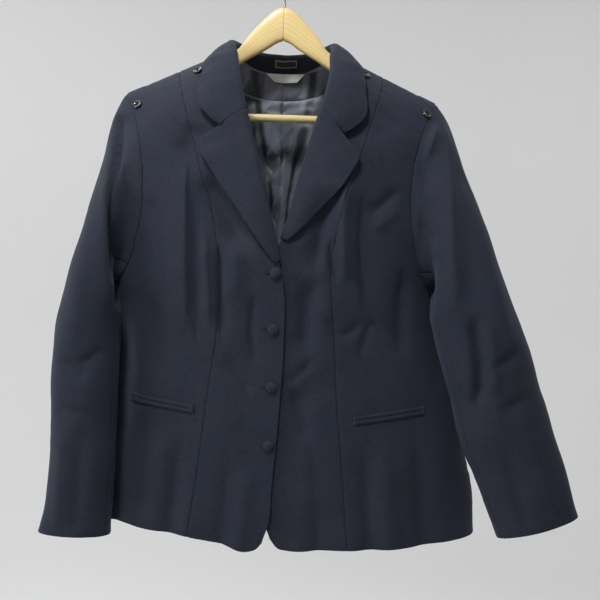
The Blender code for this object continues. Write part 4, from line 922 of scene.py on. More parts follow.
sideWords = {-1: "right", 1: "left"}
pockets = {
    "ends": {-1: ((-0.1870, -0.6152), (-0.1007, -0.6268)), 1: ((0.1120, -0.6351), (0.2060, -0.6200))},
    "height": 0.0052, "wall": 0.0012, "gap": 0.0004, "halfGap": 0.0002, "columns": 70,
}
for side, word in sideWords.items():
    (x0, z0), (x1, z1) = pockets["ends"][side]
    share = np.linspace(0, 1, pockets["columns"] + 1)
    x, middle = x0 + (x1 - x0) * share, z0 + (z1 - z0) * share
    for place, direction in (("upper", 1), ("lower", -1)):
        profile = np.linspace(0, 1, 9)
        offsets = (pockets["halfGap"] + pockets["height"] * profile) * direction
        droop = 0.00035 * np.sin(share * pi) * (1 if direction < 0 else 0.3)
        height = middle[None, :] + offsets[:, None] - droop[None, :]
        girth = frontGirth(np.broadcast_to(x, height.shape), height)
        surface, normal = drapedPoint(girth, height), bodyNormal(girth, height)
        crown = 0.0007 * np.sin(profile * pi)[:, None] + 0.0001 * np.sin(x / 0.006 + direction)[None, :]
        grid = surface + (pockets["gap"] + pockets["wall"] + crown)[..., None] * normal
        name = f"{word}_pocket_{place}_welt"
        outward = normal[4, pockets["columns"] // 2]
        piece = shell(name, grid, pockets["wall"] + crown, outward, [outerCloth], None, 0.0005)
        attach(piece, "root")
        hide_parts(name)
print("pockets made")

down = rowsDown()
clothAndLining = [outerCloth, liningSatin]


def addPanel(name, places, pointOf, seams, seed, turnedIn=None):
    girth, height = places[..., 0], places[..., 1]
    grid = drapedPoint(girth, height, pointOf)
    middle = tuple(n // 2 for n in girth.shape)
    outward = bodyNormal(girth[middle], height[middle], pointOf)
    grid = grid + gridNormals(grid, outward) * seamRelief(grid, seams, seed)[..., None]
    fromFoot = edgeDistances(grid)[3]
    fromTurnUp = (fromFoot - body["hemTurnUp"]) / seamFinish["pressWidth"]
    pressed = seamFinish["pressLine"] * np.exp(-(fromTurnUp**2))
    grid = grid - gridNormals(grid, outward) * pressed[..., None]
    hem = fromFoot < body["hemTurnUp"]
    shade = seamPaintedShade(grid, {edge: strength for edge, strength in seams.items() if edge != "top"})
    facing = hem if turnedIn is None else hem | turnedIn(grid)
    piece = shell(name, grid, body["wall"], outward, clothAndLining, facing, shade=shade)
    declareSheet(piece, grid, [name])
    return grid


grids = {}
for side, word in sideWords.items():
    pointOf = frontPointOf(side)
    across = drawnIn(crowdedShares(body["centreColumns"], 0.65), 0.0004)
    places = frontCentrePlaces(side, across, down)
    grids[f"{word}_front_centre"] = addPanel(
        f"{word}_front_centre", places, pointOf, {"outer": 0.6, "top": 0.6}, 11 + side,
        lambda grid: edgeDistances(grid)[0] < 0.075,
    )
    places = frontSidePlaces(side, drawnIn(crowdedShares(body["sideColumns"], 0.65), 0.0004), down)
    grids[f"{word}_front_side"] = addPanel(
        f"{word}_front_side", places, bodyPoint, {"inner": 0.6, "outer": 1.0, "top": 0.6}, 31 + side,
    )
    across = drawnIn(crowdedShares(body["backColumns"], 0.55), 0.0003)
    places = backPanelPlaces(side, across, down)
    grids[f"{word}_back"] = addPanel(
        f"{word}_back", places, bodyPoint, {"inner": 0.7, "outer": 1.0, "top": 0.6}, 51 + side,
    )
print("body panels made")


sleeves = {
    # inner out, inner height, outer out, outer height, centre y, half depth
    -1: np.array([
        (0.2030, -0.5050, 0.2790, -0.4820, -0.0600, 0.0430), (0.2028, -0.5450, 0.2885, -0.5300, -0.0620, 0.0425),
        (0.2025, -0.5960, 0.2896, -0.5900, -0.0640, 0.0410), (0.2022, -0.6600, 0.2876, -0.6600, -0.0660, 0.0375),
        (0.2024, -0.7250, 0.2889, -0.7290, -0.0680, 0.0335), (0.2048, -0.7950, 0.2995, -0.7940, -0.0690, 0.0290),
    ]),
    1: np.array([
        (0.2130, -0.5020, 0.3175, -0.4640, -0.0500, 0.0440), (0.2265, -0.5540, 0.3365, -0.5130, -0.0510, 0.0430),
        (0.2430, -0.6070, 0.3565, -0.5680, -0.0520, 0.0410), (0.2590, -0.6640, 0.3760, -0.6290, -0.0530, 0.0380),
        (0.2840, -0.7210, 0.3965, -0.6880, -0.0540, 0.0340), (0.3095, -0.7860, 0.4175, -0.7530, -0.0550, 0.0300),
    ]),
    "capOut": {-1: 0.0180, 1: 0.0340}, "headRoll": {-1: 0.0075, 1: 0.0045}, "headFade": 6,
    "capAside": {-1: 0.0500, 1: 0.0300}, "tipGap": 0.0007, "tuck": 0.0010, "capForward": 0.0110,
    "capBackward": 0.0030, "underarmForward": 0.0150, "capDrop": 0.0450, "capPull": 0.34,
    "bag": {-1: 0.0, 1: 0.0078}, "bagHeight": -0.4650, "bagReach": 0.0200,
    "upperColumns": 52, "underColumns": 40, "capRows": 64, "tubeRows": 90, "turnUp": 0.035,
    "startFade": 0.10, "turnParts": 22,
}
sleeveFrontFolds = {
    -1: [
        (-0.0086, 0.0024, 0.0150, 1.2, 0.08, 0.10,
         [(-0.2250, -0.226), (-0.2215, -0.300), (-0.2175, -0.370), (-0.2140, -0.425), (-0.2110, -0.470)]),
        (0.0030, 0.0080, 0.0070, 1.8, 0.35, 0.25,
         [(-0.2280, -0.270), (-0.2220, -0.350), (-0.2170, -0.440), (-0.2150, -0.520)]),
        (-0.0030, 0.0090, 0.0060, 1.6, 0.30, 0.30,
         [(-0.2050, -0.300), (-0.1960, -0.335), (-0.1900, -0.370)]),
        (0.0022, 0.0140, 0.0100, 1.9, 0.30, 0.30,
         [(-0.2480, -0.380), (-0.2520, -0.470), (-0.2560, -0.560)]),
        (-0.0024, 0.0070, 0.0100, 1.6, 0.30, 0.30,
         [(-0.2700, -0.560), (-0.2500, -0.580), (-0.2300, -0.588)]),
        (-0.0020, 0.0060, 0.0090, 1.6, 0.30, 0.30,
         [(-0.2150, -0.545), (-0.2310, -0.562), (-0.2500, -0.572)]),
        (-0.0020, 0.0080, 0.0060, 1.6, 0.30, 0.30,
         [(-0.2720, -0.620), (-0.2550, -0.632), (-0.2360, -0.634)]),
        (-0.0022, 0.0080, 0.0110, 1.8, 0.35, 0.10,
         [(-0.2400, -0.650), (-0.2420, -0.720), (-0.2460, -0.790)]),
        (0.0018, 0.0080, 0.0080, 1.8, 0.35, 0.10,
         [(-0.2620, -0.640), (-0.2650, -0.720), (-0.2720, -0.790)]),
    ],
    1: [
        (0.0064, 0.0220, 0.0026, 1.2, 0.22, 0.25,
         [(0.2230, -0.214), (0.2320, -0.300), (0.2375, -0.410), (0.2430, -0.500)]),
        (-0.0030, 0.0060, 0.0240, 1.8, 0.20, 0.25,
         [(0.2430, -0.260), (0.2490, -0.340), (0.2540, -0.430), (0.2610, -0.500)]),
        (0.0034, 0.0050, 0.0070, 1.7, 0.30, 0.30,
         [(0.2120, -0.2300), (0.2030, -0.2620), (0.1960, -0.2900)]),
        (-0.0022, 0.0060, 0.0070, 1.6, 0.30, 0.30, [(0.1860, -0.285), (0.1970, -0.305), (0.2030, -0.330)]),
        (-0.0026, 0.0070, 0.0050, 1.6, 0.30, 0.30, [(0.1900, -0.360), (0.2050, -0.385), (0.2200, -0.400)]),
        (-0.0062, 0.0060, 0.0110, 1.7, 0.22, 0.25,
         [(0.2560, -0.485), (0.2660, -0.525), (0.2720, -0.570), (0.2700, -0.620)]),
        (0.0040, 0.0070, 0.0090, 1.7, 0.25, 0.25, [(0.2760, -0.490), (0.2860, -0.540), (0.2920, -0.600)]),
        (-0.0026, 0.0100, 0.0060, 1.6, 0.30, 0.30, [(0.3260, -0.530), (0.3050, -0.552), (0.2820, -0.560)]),
        (-0.0024, 0.0070, 0.0100, 1.6, 0.30, 0.30, [(0.3380, -0.590), (0.3180, -0.606), (0.2960, -0.612)]),
        (0.0024, 0.0120, 0.0110, 1.9, 0.30, 0.30, [(0.2820, -0.420), (0.3000, -0.490), (0.3160, -0.560)]),
        (-0.0022, 0.0080, 0.0110, 1.8, 0.35, 0.10, [(0.3020, -0.640), (0.3220, -0.700), (0.3440, -0.770)]),
        (0.0018, 0.0080, 0.0080, 1.8, 0.35, 0.10, [(0.3340, -0.630), (0.3560, -0.690), (0.3820, -0.750)]),
    ],
}
sleeveBackFolds = {
    side: [
        (-0.0034, 0.0070, 0.0100, 1.7, 0.30, 0.30,
         [(side * 0.214, -0.260), (side * 0.218, -0.350), (side * 0.226, -0.450)]),
        (0.0028, 0.0090, 0.0090, 1.8, 0.30, 0.30,
         [(side * 0.232, -0.290), (side * 0.238, -0.380), (side * 0.246, -0.470)]),
    ]
    for side in (-1, 1)
}
sleeveBackFolds[-1] += [
    (-0.0034, 0.0070, 0.0110, 1.6, 0.30, 0.30,
     [(-0.208, -0.540), (-0.232, -0.568), (-0.262, -0.574), (-0.282, -0.562)]),
    (-0.0026, 0.0080, 0.0070, 1.6, 0.30, 0.30, [(-0.212, -0.600), (-0.238, -0.618), (-0.268, -0.618)]),
    (-0.0022, 0.0100, 0.0080, 1.8, 0.30, 0.10, [(-0.252, -0.640), (-0.256, -0.720), (-0.262, -0.790)]),
]
sleeveBackFolds[1] += [
    (-0.0036, 0.0070, 0.0110, 1.6, 0.30, 0.30,
     [(0.236, -0.520), (0.264, -0.546), (0.300, -0.546), (0.326, -0.526)]),
    (-0.0028, 0.0080, 0.0070, 1.6, 0.30, 0.30, [(0.250, -0.580), (0.282, -0.598), (0.318, -0.590)]),
    (-0.0022, 0.0100, 0.0080, 1.8, 0.30, 0.10, [(0.318, -0.650), (0.340, -0.710), (0.364, -0.765)]),
]
sleeveSwell = waves(17, 14, 0.045, 0.120)


def armholePlace(side, turn):
    front = outerEdge(side)(underarmShare * np.clip(2 * turn, 0, 1) ** topCrowding)
    back = outerEdge(side, back=True)(underarmShare * np.clip(2 - 2 * turn, 0, 1) ** topCrowding)
    return np.where((turn <= 0.5)[..., None], front, back)


def sleeveRing(side, turn, along):
    rings = sleeves[side]
    steps = np.linspace(0, 1, len(rings))
    innerOut, innerHeight, outerOut, outerHeight, centreY, halfDepth = (
        smoothCurve(steps, rings[:, k], along) for k in range(6)
    )
    angle = turn * 2 * pi
    share = (1 + np.cos(angle)) / 2
    x = side * (innerOut + (outerOut - innerOut) * share)
    y = centreY - np.sin(angle) * halfDepth
    z = innerHeight + (outerHeight - innerHeight) * share
    return np.stack(np.broadcast_arrays(x, y, z), axis=-1)


def sleeveGrid(side, turns, rows):
    # turn 0 is the outer edge, 0.25 the front, 0.5 the inner edge; row 0 is the armhole, 2 the cuff
    row, turn = np.meshgrid(rows, turns, indexing="ij")
    turn = turn % 1.0
    fromTop = 1 - np.abs(1 - 2 * turn)
    place = armholePlace(side, turn)
    start = drapedPoint(place[..., 0], place[..., 1])
    normal = bodyNormal(place[..., 0], place[..., 1])
    before, after = armholePlace(side, turn - 1e-3), armholePlace(side, turn + 1e-3)
    roundIt = bodyPoint(after[..., 0], after[..., 1]) - bodyPoint(before[..., 0], before[..., 1])
    outward = unit(side * np.cross(normal, roundIt))
    start = start + (sleeves["tipGap"] * (1 - fromTop[..., None]) ** 6 - sleeves["tuck"]) * outward
    forward = np.where(turn < 0.5, -sleeves["capForward"], sleeves["capBackward"]) * np.sin(fromTop * pi)
    forward = forward - sleeves["underarmForward"] * fromTop**5
    aside = side * sleeves["capAside"][side] * fromTop**2
    push = np.stack([aside, forward, -sleeves["capDrop"] * (1 - fromTop) ** 2], axis=-1)
    first = start + sleeves["capOut"][side] * outward + push
    end = sleeveRing(side, turn, np.zeros_like(turn))
    below = sleeveRing(side, turn, np.full_like(turn, 0.04))
    pull = sleeves["capPull"] * np.linalg.norm(end - start, axis=-1, keepdims=True)
    second = end - unit(below - end) * pull
    t = np.clip(row, 0, 1)[..., None]
    rest = 1 - t
    cap = start * rest**3 + 3 * first * t * rest**2 + 3 * second * t**2 * rest + end * t**3
    fade = sleeves["headFade"]
    head = t * rest**fade * (fade + 1) * (1 + 1 / fade) ** fade
    cap = cap + outward * sleeves["headRoll"][side] * head * (1 - fromTop[..., None]) ** 2
    grid = np.where((row <= 1)[..., None], cap, sleeveRing(side, turn, np.clip(row - 1, 0, 1)))
    # under the arm the cloth bags a little towards the body
    fromBag = (grid[..., 2] - sleeves["bagHeight"]) / sleeves["bagReach"]
    bag = sleeves["bag"][side] * np.exp(-(fromBag**2)) * fromTop**5
    grid = grid - np.stack([side * bag * ease(row / 0.3), 0 * bag, 0 * bag], axis=-1)
    facing = np.sin(turn * 2 * pi)
    x, z = grid[..., 0], grid[..., 2]
    rise = ease(facing / unevenness["sleeveFade"]) * foldRise(x, z, sleeveFrontFolds[side])
    rise += ease(-facing / unevenness["sleeveFade"]) * foldRise(x, z, sleeveBackFolds[side])
    swellAt = x + np.where(facing < 0, unevenness["sleeveBackShift"], 0.0) * ease(-facing / 0.3)
    rise *= unevenness["foldDepth"]
    slow = unevenness["sleeveSoft"] * waveRise(swellAt, z, sleeveSwell)
    rise += slow + unevenness["sleeveSmall"] * waveRise(swellAt, z, smallSwell)
    rise *= ease(row / sleeves["startFade"])
    outwardHint = np.cross(np.gradient(grid, axis=1), np.gradient(grid, axis=0))
    return grid + unit(outwardHint) * side * rise[..., None]


for side, word in sideWords.items():
    rows = np.concatenate([
        np.linspace(0, 1, sleeves["capRows"] + 1) ** 1.25,
        1 + np.linspace(0, 1, sleeves["tubeRows"] + 1)[1:],
    ])
    for part, first, last in (("upper", -4, 9.6), ("under", 9.6, 18)):
        shares = drawnIn(crowdedShares(sleeves[part + "Columns"], 0.6), 0.0008)
        turns = first / sleeves["turnParts"] + (last - first) / sleeves["turnParts"] * shares
        grid = sleeveGrid(side, turns, rows)
        middle = tuple(n // 2 for n in grid.shape[:2])
        centre = sleeveRing(side, np.array([0.0, 0.5]), np.array([0.2, 0.2])).mean(axis=0)
        outward = grid[middle] - centre
        seams = {"inner": 0.35, "outer": 0.6, "top": 0.8}
        relief = seamRelief(grid, seams, 71 + side + int(first))
        grid = grid + gridNormals(grid, outward) * relief[..., None]
        cuff = edgeDistances(grid)[3] < sleeves["turnUp"]
        name = f"{word}_{part}_sleeve"
        piece = shell(name, grid, body["wall"], outward, clothAndLining, cuff, shade=seamPaintedShade(grid, seams))
        declareSheet(piece, grid, [name])
print("sleeves made")


turned = {
    "rollEnd": 0.0006, "rollBreak": 0.0030, "rollNeck": 0.0052, "lift": 0.0078, "belly": 0.0030, "gap": 0.0006,
    "lapelRows": 64, "collarHalfRows": 84, "rollSteps": 14, "fallSteps": 34, "stand": 0.0006,
    "edgeLine": 0.0070, "edgeLineDepth": 0.00022, "edgeLineWidth": 0.0020, "edgeRound": 0.0009,
    "edgeSwell": 0.0005, "edgeSwellFrom": 0.010, "edgeSwellOver": 0.006,
    "fallOver": 0.015, "soft": 0.0007, "small": 0.00013,
}
# seam height, free edge x, free edge height
lapels = {
    -1: [(-0.4280, 0.0004, -0.4300), (-0.4050, -0.0165, -0.4080), (-0.3422, -0.0580, -0.3515),
         (-0.3107, -0.0773, -0.3251), (-0.2780, -0.0975, -0.2940), (-0.2640, -0.1032, -0.2790),
         (-0.2510, -0.0985, -0.2655), (-0.2330, -0.0775, -0.2522)],
    1: [(-0.3985, 0.0165, -0.4005), (-0.3805, 0.0352, -0.3835), (-0.3420, 0.0640, -0.3510),
        (-0.3168, 0.0828, -0.3299), (-0.2860, 0.0980, -0.3050), (-0.2660, 0.1060, -0.2865),
        (-0.2500, 0.0965, -0.2735), (-0.2270, 0.0852, -0.2575)],
}
# seam height, free edge out, free edge height, stand
collarFront = {
    -1: [(-0.2330, 0.0775, -0.2522, 0.0006), (-0.2160, 0.0925, -0.2400, 0.0006),
         (-0.1990, 0.1045, -0.2267, 0.0008), (-0.1860, 0.1074, -0.2042, 0.0010),
         (-0.1700, 0.1046, -0.1810, 0.0014), (-0.1500, 0.1030, -0.1620, 0.0020)],
    1: [(-0.2270, 0.0852, -0.2575, 0.0006), (-0.2130, 0.1040, -0.2440, 0.0006),
        (-0.2000, 0.1150, -0.2291, 0.0008), (-0.1870, 0.1128, -0.2050, 0.0010),
        (-0.1700, 0.1100, -0.1840, 0.0014), (-0.1500, 0.1060, -0.1640, 0.0020)],
}
# seam out, seam height, free edge out, free edge height, stand, share of the lift
collarBack = [
    (0.0720, -0.1310, 0.0985, -0.1450, 0.0035, 0.15), (0.0600, -0.1375, 0.0890, -0.1650, 0.0100, 0.40),
    (0.0350, -0.1480, 0.0520, -0.1760, 0.0170, 0.80), (0.0000, -0.1520, 0.0000, -0.1790, 0.0200, 0.80),
]
turnedSwell = waves(23, 12, 0.030, 0.080)


def rowCurves(columns, shares):
    steps = np.linspace(0, 1, len(columns[0]))
    made = []
    for column in columns:
        column = np.asarray(column, float)
        if column.ndim == 1:
            made.append(smoothCurve(steps, column, shares))
        else:
            made.append(np.stack([smoothCurve(steps, column[:, k], shares) for k in range(3)], axis=1))
    return made


def liftedEdge(girth, height, pointOf, share=1.0):
    girth, height = np.asarray(girth), np.asarray(height)
    lift = np.asarray(turned["lift"] * share + body["wall"])[..., None]
    return drapedPoint(girth, height, pointOf) + lift * bodyNormal(girth, height, pointOf)


def frontEdgeGirth(side, heights):
    spots = frontEdge[side][::-1]
    return frontGirth(smoothCurve([z for _, z in spots], [x for x, _ in spots], heights), heights)


def turnedGrid(seam, normal, edge, radius, stand, gap):
    # rows run along the seam; columns go up from it, over the roll and down to the free edge
    wall = body["wall"]
    normal = unit(normal)
    away = edge - seam
    away = unit(away - normal * np.sum(away * normal, axis=1, keepdims=True))
    seam = seam - gap * away
    radius, stand = radius[:, None], stand[:, None]
    shown = [seam - wall * normal]
    base = seam - away * stand + normal * radius
    for angle in np.linspace(0, pi, turned["rollSteps"] + 1):
        shown.append(base + (radius + wall) * (-normal * cos(angle) - away * sin(angle)))
    top = shown[-1]
    for share in crowdedShares(turned["fallSteps"], 0.45)[1:]:
        belly = turned["belly"] * np.minimum(1, radius / turned["rollBreak"])
        shown.append(top * (1 - share) + edge * share + belly * 4 * share * (1 - share) * normal)
    return np.stack(shown, axis=1)


def finishTurned(name, grid, edgeStart, seams, seed, nodes):
    # a pressed line beside the free edges, slow unevenness, then the wall
    rows, columns = grid.shape[:2]
    middle = rows // 2
    if name == "collar":
        outward = np.array([0, grid[middle, columns - 8][1], 0.02])
    else:
        outward = np.cross(
            grid[middle, columns - 6] - grid[middle, columns - 12],
            grid[middle + 4, columns - 8] - grid[middle - 4, columns - 8],
        )
        outward = outward * (1 if outward[1] < 0 else -1)
    inner, outer = edgeDistances(grid)[:2]
    fall = ease((inner - edgeStart) / turned["fallOver"])
    x, back = grid[..., 0], grid[..., 2] + grid[..., 1]
    rise = turned["soft"] * waveRise(x, back, turnedSwell) * fall
    rise += turned["small"] * waveRise(x, back, smallSwell) * fall
    fromLine = (outer - turned["edgeLine"]) / turned["edgeLineWidth"]
    rise -= turned["edgeLineDepth"] * np.exp(-(fromLine**2))
    rise += seamRelief(grid, seams, seed) * fall
    grid = grid + gridNormals(grid, outward) * rise[..., None]
    swell = ease((turned["edgeSwellFrom"] - outer) / turned["edgeSwellOver"])
    thickness = body["wall"] + turned["edgeSwell"] * swell
    piece = shell(name, grid, thickness, outward, [outerCloth, facingCloth], None, turned["edgeRound"])
    declareSheet(piece, grid, nodes)
    return grid


for side, word in sideWords.items():
    table = np.array(lapels[side])
    pointOf = frontPointOf(side)
    heights, edgeX, edgeHeight = table.T
    seamGirth = frontEdgeGirth(side, heights)
    rise = (heights - heights[0]) / (heights[-1] - heights[0])
    seam, normal, edge, radius, stand = rowCurves(
        (
            bodyPoint(seamGirth, heights) if side < 0 else leftFrontPoint(seamGirth, heights),
            bodyNormal(seamGirth, heights, pointOf),
            liftedEdge(frontGirth(edgeX, edgeHeight), edgeHeight, pointOf, 0.25 + 0.75 * ease(rise / 0.22)),
            turned["rollEnd"] + (turned["rollBreak"] - turned["rollEnd"]) * ease(rise / 0.30)
            + (turned["rollNeck"] - turned["rollBreak"]) * rise,
            np.full(len(table), turned["stand"]),
        ),
        drawnIn(np.linspace(0, 1, turned["lapelRows"] + 1), 0.0006),
    )
    grid = turnedGrid(seam, normal, edge, radius, stand, turned["gap"])
    name = f"{word}_lapel"
    grids[name] = finishTurned(name, grid, 0.012, {"foot": 0.25}, 91 + side, [name])


def collarHalf(side):
    made = []
    pointOf = frontPointOf(side)
    for seamHeight, edgeOut, edgeHeight, stand in collarFront[side]:
        seam, edge = frontEdgeGirth(side, seamHeight), frontGirth(side * edgeOut, edgeHeight)
        made.append((pointOf(seam, seamHeight), bodyNormal(seam, seamHeight, pointOf),
                     liftedEdge(edge, edgeHeight, pointOf), stand))
    for seamOut, seamHeight, edgeOut, edgeHeight, stand, lift in collarBack:
        seam, edge = backGirth(side, seamOut, seamHeight), backGirth(side, edgeOut, edgeHeight)
        made.append((bodyPoint(seam, seamHeight), bodyNormal(seam, seamHeight),
                     liftedEdge(edge, edgeHeight, bodyPoint, lift), stand))
    return made


rightHalf, leftHalf = collarHalf(-1), collarHalf(1)
stations = rightHalf + leftHalf[-2::-1]
along = np.linspace(-1, 1, len(stations))
gapAlong = 0.0009 - 0.0002 * ease((np.abs(along) - 0.3) / 0.3)
seam, normal, edge, stand, gap = rowCurves(
    (*(np.array([row[k] for row in stations]) for k in range(4)), gapAlong),
    drawnIn(np.linspace(0, 1, 2 * turned["collarHalfRows"] + 1), 0.0003),
)
grid = turnedGrid(seam, normal, edge, np.full(len(seam), turned["rollNeck"]), stand, gap[:, None])
grids["collar"] = finishTurned("collar", grid, 0.014, {"top": 0.25, "foot": 0.25}, 97, ["collar"])
print("lapels and collar made")


lining = {
    "top": [(0.0, -0.1912), (0.0300, -0.1882), (0.0600, -0.1786), (0.0760, -0.1685), (0.1300, -0.1800),
            (0.1920, -0.2120)],
    "armhole": [(0.2005, -0.2120), (0.1965, -0.2700), (0.1925, -0.3200), (0.1920, -0.3700), (0.1940, -0.4150),
                (0.1990, -0.4380)],
    "drawnIn": 0.0135, "sideGirth": 1.22, "hem": -0.7780, "columns": 88, "rows": 170,
    "looseTop": 0.020, "looseSide": 0.030, "looseFoot": 0.030, "shadeTop": 0.004, "small": 0.0002,
    "standOff": 0.0006, "seamDip": 0.0012, "seamWidth": 0.0016,
}
# out, top, bottom
neckFacing = [(0.0000, -0.1535, -0.1900), (0.0150, -0.1533, -0.1895), (0.0300, -0.1520, -0.1870),
              (0.0450, -0.1490, -0.1830), (0.0600, -0.1450, -0.1770), (0.0720, -0.1445, -0.1700)]
facetWaves = [
    # direction in degrees, spacing, height, shift
    (38, 0.041, 0.0040, 0.10), (-36, 0.047, 0.0046, 0.35), (74, 0.083, 0.0050, 0.60), (-8, 0.052, 0.0044, 0.05),
    (12, 0.109, 0.0050, 0.80), (-62, 0.033, 0.0014, 0.45),
]


def facetRise(x, z):
    # tents in several directions: flat facets of satin between sharp creases
    total = np.zeros(np.broadcast(x, z).shape)
    bend = 0.10 * np.sin(z / 0.023 + 1.0) + 0.10 * np.sin(x / 0.017 + 2.0)
    for degrees, spacing, height, shift in facetWaves:
        turn = radians(degrees)
        t = (x * cos(turn) + z * sin(turn)) / spacing + shift + bend * 0.5
        total += height * np.abs((t % 1.0) * 2 - 1)
    return total


# painted shadow bands on the satin: height, middle, half width
satinShadowBands = {
    -1: [(-0.160, -0.0400, 0.0075), (-0.210, -0.0330, 0.0060), (-0.280, -0.0200, 0.0036),
         (-0.330, -0.0120, 0.0030)],
    1: [(-0.160, 0.0430, 0.0065), (-0.215, 0.0380, 0.0070), (-0.240, 0.0320, 0.0090), (-0.280, 0.0215, 0.0050),
        (-0.330, 0.0130, 0.0030)],
}


# how strongly the painted shade follows the slope of the satin's facets, and how dark the painted shadow bands are
satin = {"step": 0.0012, "middle": 0.45, "swing": 0.40, "sharpness": 4.0, "up": 0.8, "across": 0.6, "band": 0.95}


def satinPaintedShade(x, z):
    # painted shade: the satin's colour is left pale where its folds turn up and outward and darkened where they
    # turn down, with painted shadow bands
    step = satin["step"]
    slopeUp = (facetRise(x, z + step) - facetRise(x, z - step)) / (2 * step)
    slopeAcross = (facetRise(x + step, z) - facetRise(x - step, z)) / (2 * step)
    turnedUp = slopeUp * satin["up"] - slopeAcross * satin["across"]
    shade = satin["middle"] - satin["swing"] * np.tanh(satin["sharpness"] * turnedUp)
    for rows in satinShadowBands.values():
        heights, middles, widths = np.array(rows[::-1]).T
        away = (x - np.interp(z, heights, middles)) / np.interp(z, heights, widths)
        shade = np.maximum(shade, satin["band"] * np.exp(-(away**4)))
    return np.clip(shade, 0, 1)


liningFolds = [
    (0.0060, 0.0040, 0.0100, 1.3, 0.15, 0.20,
     [(-0.052, -0.180), (-0.049, -0.250), (-0.044, -0.330), (-0.040, -0.430)]),
    (0.0066, 0.0100, 0.0040, 1.3, 0.15, 0.20,
     [(0.058, -0.180), (0.053, -0.250), (0.046, -0.330), (0.040, -0.430)]),
    (0.0036, 0.0030, 0.0120, 1.2, 0.10, 0.10,
     [(0.0040, -0.190), (0.0046, -0.300), (0.0040, -0.420), (0.0030, -0.780)]),
]


def liningPlaces(side, across, down):
    top = backPlaces(side, lining["top"])
    armhole = backPlaces(side, [(x - lining["drawnIn"], z) for x, z in lining["armhole"]])
    foot = [(side * lining["sideGirth"], body["underarm"]), (side * lining["sideGirth"], lining["hem"])]
    middle = [(side * 2.0, h) for h in (lining["top"][0][1], -0.45, lining["hem"])]
    return patch(
        edgePath(middle), joinedPath(edgePath([*armhole, foot[0]]), edgePath(foot), underarmShare),
        edgePath(top), edgePath([middle[-1], foot[-1]]), across, down,
    )


def sunkGrid(places, sunk):
    girth, height = places[..., 0], places[..., 1]
    return drapedPoint(girth, height) - sunk * bodyNormal(girth, height)


sunk = body["wall"] + body["liningGap"]
inward = np.array([0.0, -1.0, 0.0])
for side, word in sideWords.items():
    across = drawnIn(crowdedShares(lining["columns"], 0.3), 0.0002)
    grid = sunkGrid(liningPlaces(side, across, drawnIn(np.linspace(0, 1, lining["rows"] + 1), 0.0002)), sunk)
    x, z = grid[..., 0], grid[..., 2]
    inner, outer, top, foot = edgeDistances(grid)
    loose = ease(top / lining["looseTop"]) * ease(outer / lining["looseSide"]) * ease(foot / lining["looseFoot"])
    shade = satinPaintedShade(x, z) * ease(top / lining["shadeTop"])
    rise = facetRise(x, z) + foldRise(x, z, liningFolds) + lining["small"] * waveRise(x, z, smallSwell)
    seamDip = lining["seamDip"] * np.exp(-((inner / lining["seamWidth"]) ** 2))
    stand = rise * loose + lining["standOff"] - seamDip
    grid = grid + gridNormals(grid, inward) * stand[..., None]
    name = f"{word}_back_lining"
    piece = shell(name, grid, body["liningWall"], inward, [liningSatin], None, 0.0004, shade)
    declareSheet(piece, grid, [name])

facingOut, facingTop, facingBottom = np.array(neckFacing).T
out = np.linspace(0, facingOut[-1], 41)
share = np.linspace(0, 1, 15)[:, None]
height = smoothCurve(facingOut, facingTop, out) * (1 - share) + smoothCurve(facingOut, facingBottom, out) * share
girth = backGirth(1, out[None, :], height)
bothGirths = np.concatenate([girth[:, :0:-1], -girth], axis=1)
places = np.stack([bothGirths, np.concatenate([height[:, :0:-1], height], axis=1)], axis=-1)
grid = sunkGrid(places, sunk - lining["standOff"])
grid = grid + gridNormals(grid, inward) * (seamRelief(grid, {"foot": 0.5}, 3) * 0.5)[..., None]
facingGrid = grid
shade = satinPaintedShade(grid[..., 0], grid[..., 2])
piece = shell("neck_facing", grid, body["liningWall"], inward, [liningSatin], None, 0.0004, shade)
declareSheet(piece, grid, ["neck_facing"])
print("lining and facing made")


